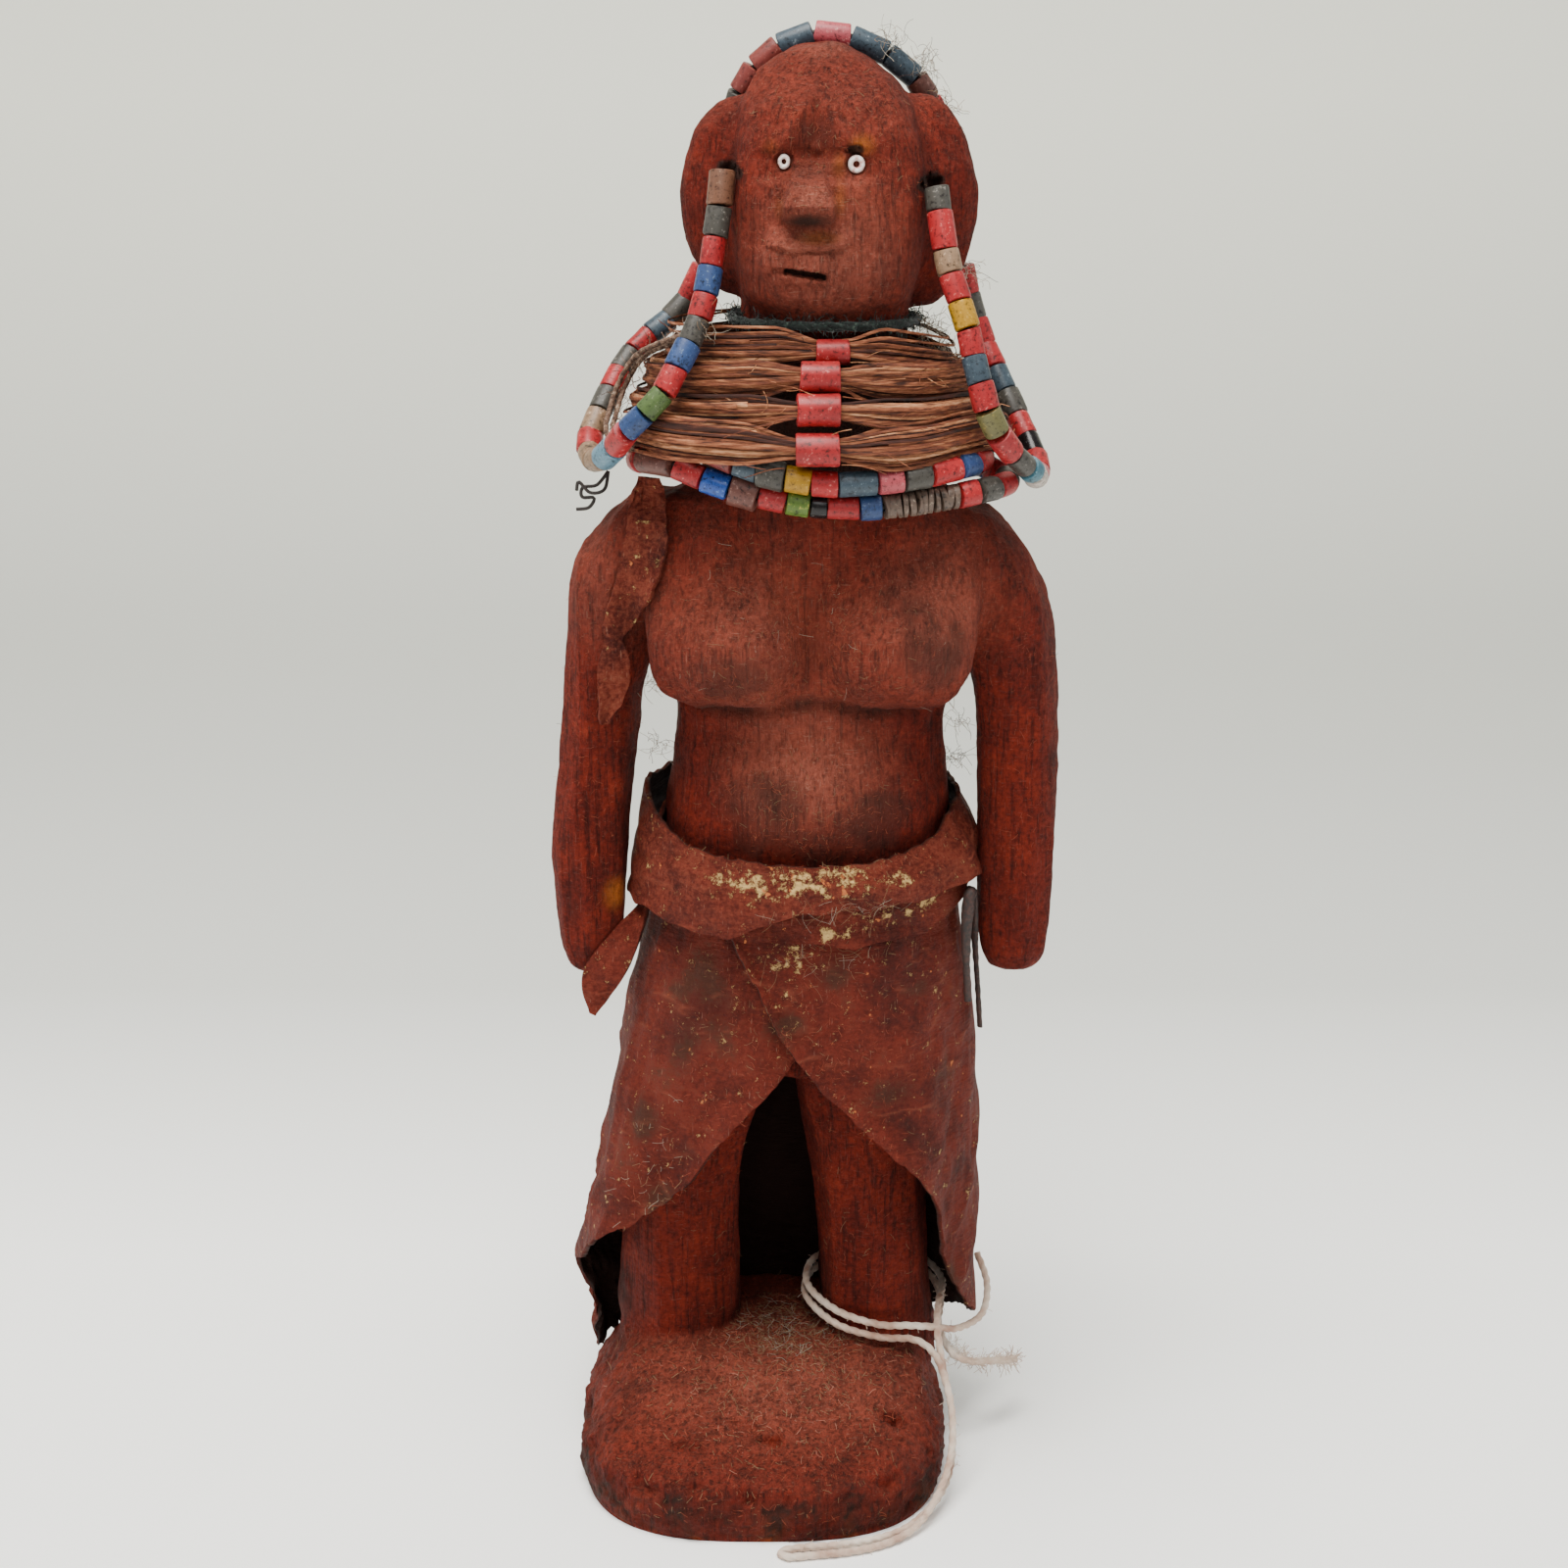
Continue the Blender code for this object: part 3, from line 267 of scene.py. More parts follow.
# The face and the eye region carry finer cuts than the rest, so their faces are divided further
for cuts, low, high in ((1, (-7, -20, 238), (33, 3, 276)), (1, (-1.5, -20, 240), (20.5, -3, 269))):
    fine = [face for face in carved.faces if face.normal.y < -0.1
            and all(a < b < c for a, b, c in zip(low, face.calc_center_median() / MM, high))]
    edges = list({edge for face in fine for edge in face.edges})
    bmesh.ops.subdivide_edges(carved, edges=edges, cuts=cuts, use_grid_fill=True)
bmesh.ops.bisect_plane(carved, geom=carved.verts[:] + carved.edges[:] + carved.faces[:], plane_co=(0, 0, 0.02 * MM),
                       plane_no=(0, 0, -1), clear_outer=True)
bmesh.ops.holes_fill(carved, edges=[edge for edge in carved.edges if edge.is_boundary], sides=0)
carved.normal_update()
places = np.array([vert.co for vert in carved.verts]) / MM
ways = np.array([vert.normal for vert in carved.verts])


def waves(points, across, along, seed):
    """Smooth noise from -1 to 1 that repeats about every so many millimetres across the grain and along it."""
    scaled = points / (across, across, along) + seed
    return np.array([noise.noise(point) for point in scaled.tolist()])


def step_up(value, low, high):
    """0 below low, 1 above high and smooth between them."""
    share = np.clip((value - low) / (high - low), 0, 1)
    return share * share * (3 - 2 * share)


def near(points, middle, halves):
    """1 at the middle, falling smoothly to 0 at an ellipsoid of those halves round it."""
    far = np.linalg.norm((points - middle) / halves, axis=1)
    return step_up(1 - far, 0, 1)


def within(away, half, soft):
    """1 where something is well less than half away, falling smoothly to 0 at half."""
    return step_up(half - np.abs(away), 0, soft)


def patches(points, rows):
    """Soft patches added up: each is its strength, its middle and its halves in millimetres."""
    return sum(strength * near(points, middle, halves) for strength, middle, halves in rows)


x, y, z = places.T
front = step_up(-ways[:, 1], 0.0, 0.35) * step_up(z, 236, 239)
side = x - 8.8
proud = np.zeros(len(places))
# The nose is one blunt wedge: it stands out at once under the brow and is cut back sharply underneath
nose_out = np.interp(z, (253.6, 254.8, 257.0, 258.2, 261.6, 262.6, 264.4), (0, 1.2, 5.4, 5.9, 4.4, 3.2, 0))
nose_half = np.interp(z, (253.6, 255.6, 258.2, 261.6, 264.6), (3.8, 5.0, 5.2, 3.9, 2.9))
proud += nose_out * step_up(nose_half - np.abs(side), 0, 1.0)
# The upper lip is a ledge that curves up at its ends, with a small block and the mouth's slit under it
lip = z - (250.6 + 0.014 * side ** 2 + 0.4 * waves(places, 2.5, 2.5, 6.0))
proud += np.interp(lip, (-0.7, 0, 1.2, 3.2), (0, 1.5, 1.2, 0)) * within(side, 8.8, 3.4)
proud += 0.55 * within(x - 9.6, 3.0, 0.7) * within(z - 248.2, 1.9, 0.7)
slit = np.abs(z - (246.2 - 0.14 * (x - 8.0)) - 0.25 * waves(places, 1.1, 1.1, 3.0))
proud -= 1.9 * step_up(0.62 - slit, -0.15, 0.35) * within(x - 8.2, 3.9, 0.5)
proud -= 0.7 * within(z - 246.6, 0.9, 0.8) * within(x - 3.6, 1.6, 0.7)
proud -= 0.55 * within(z - 243.1 - 0.12 * np.abs(x - 7.5), 1.5, 1.3) * within(x - 7.5, 5.5, 2)
# The brow: cut back over the bridge of the nose in a lozenge, and hollowed along the line of the eyes
lozenge = np.abs(x - 10.2) / 6.6 + np.maximum(z - 267.4, (267.4 - z) * 1.9) / 9.5
proud -= 2.7 * np.clip(1.05 - lozenge, 0, 0.8)
proud -= 0.9 * within(z - 264.6, 3.6, 2.4) * within(x - 10.4, 12.5, 3.5)
EYES = (("eye_bead_right", 4.4, 265.4, 2.6, 0.9), ("eye_bead_left", 17.3, 265.0, 3.1, 1.1))
for _, eye_x, eye_z, across, _ in EYES:
    proud -= 0.9 * step_up(across / 2 + 0.9 - np.hypot(x - eye_x, z - eye_z), 0, 0.8)
proud -= 1.3 * near(np.stack([x, z], 1), (17.0, 267.4), (2.6, 1.5)) * (1 + waves(places, 0.9, 0.9, 5.0))
places[:, 1] -= proud * front
# The breasts, with a crease under them and a valley between, and the belly, which swells over the belt
facing = step_up(-ways[:, 1], -0.1, 0.5)
swell = 2.6 * near(places, (-6.0, -14, 177), (17, 16, 14)) + 2.6 * near(places, (25.0, -14, 178), (17, 16, 14))
swell += 2.4 * near(places, (9, -9, 145), (27, 16, 15)) - 0.8 * near(places, (9.6, -10, 180), (3.4, 14, 20))
crease = z - (163.6 + 0.008 * (np.abs(x - 9.4) - 15) ** 2)
swell -= 1.0 * within(crease, 2.6, 2.6) * within(x - 9, 26, 8)
places[:, 1] -= swell * facing
# The holes for the strings, where each ear disc meets the face
HOLES = ((-5.6, 263.2), (31.2, 261.0))
for hole_x, hole_z in HOLES:
    ragged = 1.7 + 1.1 * waves(places, 1.5, 1.5, 9.0)
    sunk = step_up(ragged - np.hypot((x - hole_x) * 0.75, (z - hole_z) * 1.3), 0, 0.9) * (ways[:, 1] < 0.2) * (y < 8)
    places[:, 1] += 2.6 * sunk
# Shallow gouges left by the blade, drawn out long and flat on the limbs, and the raised grain itself
arms = step_up(np.abs(x - 8.4), 30, 35) * step_up(198 - z, 0, 12)
limbs = np.maximum(arms, step_up(92 - z, 0, 10)) * step_up(z, 24, 30)
gouges = np.array([noise.voronoi(point)[0][0] for point in (places / (6.5, 6.5, 13)).tolist()])
planes = np.array([noise.voronoi(point)[0][0] for point in (places / (8.5, 8.5, 75) + 3).tolist()])
calm = 1 - 0.5 * step_up(z, 225, 240)
calm *= 1 - 0.65 * step_up(30 - z, 0, 6)
depth = calm * (1.7 * (1 - limbs) * (gouges ** 2 - 0.2) + 2.8 * limbs * (planes ** 2 - 0.2))
depth += 0.16 * waves(places, 1.6, 12, 1.0) + 0.2 * waves(places, 3.2, 4, 2.0) + 0.1 * waves(places, 1.4, 1.4, 5.0)
rough_top = step_up(30 - z, 0, 8)
depth += 0.6 * step_up(16 - z, 0, 8) * waves(places, 6, 16, 4.0) + 0.4 * rough_top * waves(places, 9, 9, 7.0)
depth += rough_top * (0.5 * waves(places, 2.6, 2.6, 21.0) + 0.4 * waves(places, 1.3, 1.3, 23.0))
arris = within(z - 10.5, 2.6, 2) * (y < 10)
depth -= 1.5 * arris * step_up(waves(places, 4.5, 4.5, 13.0), 0.05, 0.4)
for chip_x, chip_y, chip_long in ((-4, -23.5, 8), (1.5, -27, 5), (26, -20, 6), (-15, -28, 5)):
    slanted = np.stack([x, y + 0.25 * x], 1)
    cleft = near(slanted, (chip_x, chip_y + 0.25 * chip_x), (chip_long, 1.7)) * step_up(z, 8, 10)
    depth -= 2.6 * cleft * step_up(20 - z, 0, 3) * (1 + waves(places, 1.5, 1.5, 15.0))
level = step_up(z, 0.4, 2.0)
places += ways * (depth * level)[:, None]
figure_mesh = bpy.data.meshes.new("carved_figure_relief")
for vert, place in zip(carved.verts, places * MM):
    vert.co = place
carved.normal_update()
carved.to_mesh(figure_mesh)
ways = np.array([vert.normal for vert in carved.verts])
carved.free()
figure_mesh.shade_smooth()

# Where the figure is dusty, darkened or stained: three numbers at each point, which its material reads. The dust
# number also paints highlights and light, and the darkening number paints shade as well as dark rubbed patches.
x, y, z = places.T
cloud = 0.5 + 0.5 * waves(places, 5, 7, 11.0)
up = step_up(ways[:, 2], 0.05, 0.8)
# Pale dust on the chest, shoulders, face and crown. The patches on the nose's top and the lip's ledge are painted
# highlights, and the strong one on the belly is painted light where it lies in shade.
DUST_AND_HIGHLIGHT_PATCHES = (
    (0.5, (2, -16, 180), (38, 26, 34)), (1.0, (9, -16, 153), (32, 22, 20)), (0.4, (-28, 0, 186), (16, 22, 20)),
    (0.6, (36, -12, 184), (20, 24, 26)), (0.8, (12, -14, 250), (26, 24, 24)), (0.14, (12, -8, 272), (24, 24, 18)),
    (0.6, (8.8, -15, 260), (4.6, 6, 2.6)), (0.8, (9, -13, 250.6), (8, 6, 1.7)), (0.5, (11, 6, 286), (9, 12, 6)))
RUBBED_OFF = (
    (1, (32.4, -14, 177), (9.5, 14, 12)), (1, (26.5, -15, 187), (8, 14, 6)), (1, (-7, -16, 171), (14, 14, 7.5)),
    (1, (1.2, -10, 145), (15, 14, 10)), (1, (22, -10, 143), (12, 14, 8.5)), (1, (10, -10, 137), (26, 14, 5)))
# Painted shade: on the brow's cut-back lozenge, under the nose, along the hollow of the eyes, in the valley between
# the breasts and behind the ear discs
PAINTED_SHADE_PATCHES = (
    (0.9, (10.2, -9, 270.5), (6, 8, 7.4)), (1.3, (8.8, -13, 255.2), (6.6, 7, 2.6)),
    (0.55, (10, -10, 264.4), (12, 8, 2.6)), (0.3, (9.6, -12, 176), (3.4, 14, 16)),
    (0.7, (28, 6, 262), (5, 10, 10)), (0.6, (-3, 6, 262), (4, 10, 10)))
YELLOWED = (
    (1.1, (18.4, -8, 268.4), (3.4, 6, 3)), (0.8, (14.4, -11, 259.5), (1.8, 6, 5)),
    (0.8, (14.2, -9, 265), (2.2, 6, 3.6)), (0.6, (3.4, -11, 258), (1.4, 5, 4)),
    (0.9, (10.5, -12, 252.6), (5.6, 6, 1.8)), (1.2, (-28.6, 0, 124), (4, 8, 5)), (0.5, (1.6, -9, 268), (3, 6, 3)))
dust = patches(places, DUST_AND_HIGHLIGHT_PATCHES) + 0.15 * step_up(ways[:, 1], 0.2, 0.8)
# Paler where it faces up: dust settled on top, and partly painted top light; most on the base's top
dust += up * (0.18 + 0.5 * near(places, (6, -8, 22), (48, 44, 12)))
ragged = 1 + 1.5 * waves(places, 3.5, 8, 31.0)
# Painted shade from the patches above, and dark wood where the dust is rubbed off the breasts and belly
soot = patches(places, PAINTED_SHADE_PATCHES) + 0.46 * step_up(patches(places, RUBBED_OFF) * ragged, 0.1, 0.6)
# Painted shade lies in the crease under the breasts, on the neck under the collar, in the pits of the base, on the
# base's side round its foot and behind the legs under the skirt
soot += (0.34 + 0.5 * cloud) * within(crease, 3.0, 3.0) * within(x - 9, 27, 9) * (y < 4)
soot += 1.6 * step_up(z, 205, 211) * step_up(236 - z, 0, 3) * (y < 12)
soot += 0.42 * rough_top * step_up(-waves(places, 1.3, 1.3, 23.0), 0.05, 0.4)
soot += (0.2 + 0.4 * cloud) * step_up(13 - z, 0, 7) * (z > 0.6)
soot += 0.5 * step_up(46 - z, 0, 14) * step_up(y, -2, 10) * (z > 26)
# Painted shade is darkest round the eyes in their sockets, in the chip over the left one, in the string holes and in
# the mouth's slit
for _, eye_x, eye_z, across, _ in EYES:
    soot += 0.5 * within(np.hypot(x - eye_x, z - eye_z), across / 2 + 0.5, 0.5) * (y < 0)
soot += 2 * near(np.stack([x, z], 1), (17.0, 267.5), (2.4, 1.3)) * (y < 0) * (z < 270)
for hole_x, hole_z in HOLES:
    from_hole = np.hypot((x - hole_x) * 0.75, (z - hole_z) * 1.3)
    soot += 3 * step_up(1.7 + cloud - from_hole, 0, 0.8) * (y < 8) * (ways[:, 1] < 0.6)
soot += 2.5 * within(z - (246.2 - 0.14 * (x - 8.0)), 0.6, 0.3) * within(x - 8.2, 3.9, 0.4) * (y < -5)
ochre = patches(places, YELLOWED) + 0.4 * step_up(8 - z, 0, 6) * step_up(cloud, 0.5, 0.8)


def mark(mesh, layers):
    """Numbers from 0 to 1 at each point of a mesh, under the names that its material reads."""
    for label, values in layers.items():
        layer = mesh.attributes.new(label, "FLOAT", "POINT")
        layer.data.foreach_set("value", np.clip(values, 0, 1).astype(np.float32))


mark(figure_mesh, {"dust": dust, "soot": soot * (0.55 + 0.9 * cloud), "ochre": ochre})

carved_wood, add = matter("knife-carved light wood rubbed with red ochre and fat")
# A dark, matt red crust with pits and fine cracks. Open grain shows as dark lines, 0.8 mm wide and 14 mm long,
# and where the figure is handled or faces up, pale dust catches on short raised fibres and scratches. The same pale
# colour also paints highlights and top light, and a near-black paints shade in creases, hollows and under the skirt.
spot = add("TexCoord", {}, "Object")
grain_place = add("Mapping", {"Vector": spot, "Scale": per(0.8, 0.8, 14)})
grain = add("TexNoise", {"Vector": grain_place, "Scale": 1.0, "Detail": 5.0, "Roughness": 0.65, "Distortion": 0.3})
fleck_place = add("Mapping", {"Vector": spot, "Scale": per(0.32, 0.4, 2.6), "Rotation": (0.6, 0.9, 0.4)})
fleck = add("TexNoise", {"Vector": fleck_place, "Scale": 1.0, "Detail": 2.0, "Roughness": 0.5})
cross_place = add("Mapping", {"Vector": spot, "Scale": per(2.4, 0.4, 0.32), "Rotation": (0.5, 0.9, 0.3)})
cross = add("TexNoise", {"Vector": cross_place, "Scale": 1.0, "Detail": 2.0, "Roughness": 0.5})
brushed_place = add("Mapping", {"Vector": spot, "Scale": per(0.6, 0.6, 4.2), "Rotation": (0.1, 0.16, 0)})
brushed = add("TexNoise", {"Vector": brushed_place, "Scale": 1.0, "Detail": 5.0, "Roughness": 0.7})
cloudy = add("TexNoise", {"Vector": spot, "Scale": per(11), "Detail": 7.0, "Roughness": 0.66})
crust = add("TexNoise", {"Vector": spot, "Scale": per(1.1), "Detail": 5.0, "Roughness": 0.72})
body = add("ValToRGB", {"Fac": cloudy}, stops=(
    (0.3, "#431007"), (0.46, "#5e170a"), (0.6, "#6e1e0e"), (0.76, "#7f2c1a")))
lines = add("MapRange", {"Value": grain, "From Min": 0.33, "From Max": 0.46, "To Min": 0.35})
grained = add("Mix", {0: 0.8, 6: body, 7: lines}, 2, data_type="RGBA", blend_type="MULTIPLY")
pits = add("MapRange", {"Value": crust, "From Min": 0.32, "From Max": 0.68, "To Min": 0.48, "To Max": 1.5})
pitted = add("Mix", {0: 1.0, 6: grained, 7: pits}, 2, data_type="RGBA", blend_type="MULTIPLY")
# The pale dust colour, which also paints highlights and top light where the dust number holds them
dusty = add("Attribute", {}, "Fac", attribute_name="dust")
rubbed = add("Math", {0: brushed, 1: crust}, operation="MAXIMUM")
veil_patch = add("Math", {0: cloudy, 1: 0.5, 2: rubbed}, operation="MULTIPLY_ADD")
veil_range = add("MapRange", {"Value": veil_patch, "From Min": 0.5, "From Max": 0.94, "To Max": 1.0})
veil = add("Math", {0: veil_range, 1: dusty}, operation="MULTIPLY")
veiled = add("Mix", {0: veil, 6: pitted, 7: "#a05a48"}, 2, data_type="RGBA")
both = add("Math", {0: fleck, 1: cross}, operation="MAXIMUM")
hairs = add("MapRange", {"Value": both, "From Min": 0.63, "From Max": 0.73})
hair_base = add("Math", {0: dusty, 1: 0.36, 2: 0.1}, operation="MULTIPLY_ADD")
hair_share = add("Math", {0: hairs, 1: hair_base}, operation="MULTIPLY")
haired = add("Mix", {0: hair_share, 6: veiled, 7: "#ba8671"}, 2, data_type="RGBA")
stained = add("Attribute", {}, "Fac", attribute_name="ochre")
stain_share = add("Math", {0: stained, 1: crust}, operation="MULTIPLY")
yellowed = add("Mix", {0: stain_share, 6: haired, 7: "#b3661f"}, 2, data_type="RGBA")
# Near-black for painted shade and for the dark rubbed patches
soot_and_shade_share = add("Attribute", {}, "Fac", attribute_name="soot")
soot_and_shade_edge = add("Math", {0: crust, 1: 0.9, 2: soot_and_shade_share}, operation="MULTIPLY_ADD")
soot_and_shade_range = add("MapRange", {"Value": soot_and_shade_edge, "From Min": 0.55, "From Max": 1.3, "To Max": 0.9})
soot_and_shade_darkened = add("Mix", {0: soot_and_shade_range, 6: yellowed, 7: "#2b1a13"}, 2, data_type="RGBA")
rough_height = add("Math", {0: brushed, 1: 1.2, 2: crust}, operation="MULTIPLY_ADD")
grain_height = add("Math", {0: lines, 1: 0.9, 2: rough_height}, operation="MULTIPLY_ADD")
height = add("Math", {0: hairs, 1: 0.22, 2: grain_height}, operation="MULTIPLY_ADD")
relief = add("Bump", {"Height": height, "Strength": 1.0, "Distance": 0.85 * MM})
wear = add("MapRange", {"Value": crust, "To Min": 0.9, "To Max": 0.6})
coat = add("BsdfPrincipled", {
    "Base Color": soot_and_shade_darkened, "Roughness": wear, "Normal": relief, "Specular IOR Level": 0.16})
add("OutputMaterial", {"Surface": coat})
figure_mesh.materials.append(carved_wood)
figure = bpy.data.objects.new("carved_figure_wood", figure_mesh)
bpy.context.collection.objects.link(figure)
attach(figure, "root")
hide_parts("carved_figure")
wood_faces = [tuple(face.vertices) for face in figure_mesh.polygons]
wood = BVHTree.FromPolygons([tuple(place) for place in places], wood_faces)

# A pale cotton string, three strands twisted together, is tied loosely round the doll's left ankle. It falls to
# the ground in a loop, comes back up, goes round the ankle again and ends frayed. Points in millimetres.
STRING_WIDTH, STRING_TWIST = 1.6, 2.3
STRAND_STEP = 1.5
STRING_ROUTE = (
    (46.4, 23, 32), (48.2, 17, 28), (46.6, 9.6, 24.8), (41, 2.6, 25.4), (36, -1.4, 28), (30.4, -3.2, 29.4),
    (24, -3.8, 30), (15.6, -0.6, 31.4), (9.6, 8, 32.6), (10.6, 17.4, 33), (17, 24.4, 33), (26, 25.6, 32.4),
    (34.6, 21.4, 31.6), (38.2, 13, 31.2), (37, 4.4, 30.8), (36.4, -1.4, 28), (37.4, -6, 21.6), (39, -10, 14.6),
    (39.2, -14.6, 9), (38.4, -19.4, 5.4), (36.4, -24.2, 3.2), (33.2, -28.8, 1.8), (28.6, -33.4, 0.9),
    (22.6, -36.9, 0.9), (15, -38.9, 0.9), (9, -39.6, 0.9), (5, -40.4, 0.9), (3.6, -41.6, 0.9), (5.4, -42.8, 0.9),
    (10.4, -42.2, 0.9), (17.6, -41, 0.9), (24.6, -38.4, 0.9), (30.4, -34.2, 1.6), (34.4, -29.2, 3.8),
    (37.2, -23.6, 6.6), (38.8, -18, 10), (39, -13, 15), (37.6, -8.8, 20.4), (35.6, -5.4, 24), (31.6, -3.8, 26.4),
    (24, -4, 27.2), (15.2, -1, 28.6), (9.2, 8, 30), (10.2, 17.8, 30.4), (17, 24.8, 30.2), (26, 26, 29.6),
    (34.8, 21.6, 28.8), (37.9, 13, 27.6), (37.2, 5.6, 24.4), (39.8, 1, 20.4), (44.2, 1, 18.4), (49.4, 4.4, 16.6),
    (54, 8.6, 14.4))


def length_so_far(line):
    """How far along a line each of its points is."""
    return np.append(0, np.cumsum(np.linalg.norm(np.diff(line, axis=0), axis=1)))


def even_line(given, step, closed=False):
    """Points a step apart along a smooth curve through the given ones."""
    given = np.array(given, float)
    count = len(given)
    fine = []
    for span in range(count if closed else count - 1):
        if closed:
            a, b, c, d = (given[(span + shift) % count] for shift in (-1, 0, 1, 2))
        else:
            a, b, c, d = (given[min(max(span + shift, 0), count - 1)] for shift in (-1, 0, 1, 2))
        for part in np.linspace(0, 1, 12, endpoint=False):
            fine.append(0.5 * (2 * b + (c - a) * part + (2 * a - 5 * b + 4 * c - d) * part * part
                               + (3 * b - a - 3 * c + d) * part ** 3))
    fine.append(given[0] if closed else given[-1])
    fine = np.array(fine)
    lengths = length_so_far(fine)
    stops = np.linspace(0, lengths[-1], max(round(lengths[-1] / step), 4) + 1)
    stops = stops[:-1] if closed else stops
    return np.stack([np.interp(stops, lengths, fine[:, axis]) for axis in range(3)], axis=1)


def clear_of(point, reach, surface):
    """The point, moved out of a surface until it is at least reach from it."""
    nearest, normal, _, far = surface.find_nearest(Vector(point))
    away = Vector(point) - nearest
    outside = away.dot(normal) > 0
    short = reach - (far if outside else -far)
    if short <= 0:
        return point
    return point + np.array(away.normalized() if outside and far > 1e-4 else normal) * short


def settled(line, radius, placed, closed=False, rounds=60, eased_rounds=45):
    """A strand's line, moved out until it clears the wood and the strands placed before it."""
    start, line = line, line.copy()
    for turn in range(rounds):
        for at, point in enumerate(line):
            line[at] = clear_of(point, radius + AIR_GAP, wood)
        for others, other_radius in placed:
            apart = line[:, None, :] - others[None, :, :]
            far = np.linalg.norm(apart, axis=2)
            nearest = np.argmin(far, axis=1)
            rows = np.arange(len(line))
            short = np.maximum(radius + other_radius + AIR_GAP - far[rows, nearest], 0)
            line += apart[rows, nearest] * (short / np.maximum(far[rows, nearest], 1e-3))[:, None]
        if turn < eased_rounds:
            moved = line - start
            eased = 0.6 * moved + 0.2 * (np.roll(moved, 1, axis=0) + np.roll(moved, -1, axis=0))
            if not closed:
                eased[0], eased[-1] = moved[0], moved[-1]
            line = start + eased
    return line


def tube(centres, radii, sides=6, flat=1.0, closed=False, lobes=0, twist=1.0, kind=0):
    """A tube or flat strip along the centres. Lobes give it the section of twisted strands, turning once a twist."""
    centres = np.asarray(centres, float)
    count = len(centres)
    radii = np.broadcast_to(np.asarray(radii, float), (count,))
    ways = np.roll(centres, -1, 0) - np.roll(centres, 1, 0) if closed else np.gradient(centres, axis=0)
    ways /= np.linalg.norm(ways, axis=1)[:, None]
    first = np.cross(ways[0], (0.3, 0.2, 1.0))
    sideways = [first / np.linalg.norm(first)]
    for way in ways[1:]:
        turned = sideways[-1] - way * sideways[-1].dot(way)
        sideways.append(turned / np.linalg.norm(turned))
    sideways = np.array(sideways)
    thirds = np.cross(ways, sideways)
    turns = np.linspace(0, 2 * math.pi, sides, endpoint=False)[None, :].repeat(count, axis=0)
    lengths = length_so_far(centres)
    if closed:
        last = sideways[-1] - ways[0] * sideways[-1].dot(ways[0])
        turns = turns + math.atan2(-last.dot(thirds[0]), last.dot(sideways[0])) * (np.arange(count) / count)[:, None]
    size = radii[:, None] * np.ones(sides)
    if lobes:
        whole = round(lengths[-1] / twist)
        phase = 2 * math.pi / lobes * lengths * (whole / lengths[-1] if closed else 1 / twist)
        size = size * (0.66 + 0.34 * np.abs(np.cos(lobes / 2 * (turns - phase[:, None]))))
    out = np.cos(turns)[:, :, None] * sideways[:, None, :] + flat * np.sin(turns)[:, :, None] * thirds[:, None, :]
    points = (centres[:, None, :] + out * size[:, :, None]).reshape(-1, 3)
    faces = ring_faces(count, sides, closed)
    if not closed:
        faces += [tuple(reversed(range(sides))), tuple(range((count - 1) * sides, count * sides))]
    return points, faces, kind


def hair(start, way, length, radius, curl, steps=6, kind=0):
    """One loose fibre from a point: it bends this way and that as it goes."""
    way = np.array(way, float) / np.linalg.norm(way)
    centres = [np.array(start, float)]
    turn = chance.normal(0, curl, 3)
    for _ in range(steps):
        turn = 0.7 * turn + chance.normal(0, curl, 3) * 0.5
        way = way + turn
        way /= np.linalg.norm(way)
        centres.append(centres[-1] + way * length / steps)
        centres[-1][2] = max(centres[-1][2], radius)
    return tube(centres, radius, 3, kind=kind)


def hairs_on(line, at_places, off, lengths, radius, curl, way=(0, 0, 0), stray=1.0):
    """Loose fibres that start near some places of a line and go any way, or about one way."""
    return [hair(line[at] + chance.normal(0, off, 3), way + chance.normal(0, stray, 3), chance.uniform(*lengths),
                 radius, curl) for at in at_places]


cotton, add = matter("twisted undyed cotton")
# Soft matt yarn, off-white and a little grubby; its strands are 0.8 mm thick
spot = add("TexCoord", {}, "Object")
grub = add("TexNoise", {"Vector": spot, "Scale": per(6), "Detail": 4.0})
strand_grain = add("TexNoise", {"Vector": spot, "Scale": per(0.4), "Detail": 3.0})
tint = add("ValToRGB", {"Fac": grub}, stops=((0.35, "#9c7967"), (0.5, "#bfa694"), (0.7, "#d5c7b8")))
relief = add("Bump", {"Height": strand_grain, "Strength": 0.6, "Distance": 0.2 * MM})
coat = add("BsdfPrincipled", {
    "Base Color": tint, "Roughness": 0.92, "Normal": relief, "Specular IOR Level": 0.2, "Sheen Weight": 0.25})
add("OutputMaterial", {"Surface": coat})
string_line = settled(even_line(STRING_ROUTE, 1.6), STRING_WIDTH / 2, [])
string_line = even_line(string_line, 0.5)
string_line[:, 2] = np.maximum(string_line[:, 2], STRING_WIDTH / 2)
string = piece("ankle_string_cotton", [tube(string_line, STRING_WIDTH / 2, 15, lobes=3, twist=STRING_TWIST)],
               [cotton])
end_way = string_line[-1] - string_line[-8]
frays = hairs_on(string_line, -chance.integers(1, 44, 260), 0.3, (2.0, 4.6), 0.07, 0.42, end_way, 0.9)
frays += hairs_on(string_line, chance.integers(0, len(string_line), 130), 0.3, (1, 2.4), 0.06, 0.25)
fray = piece("ankle_string_fray", frays, [cotton])
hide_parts("ankle_string")

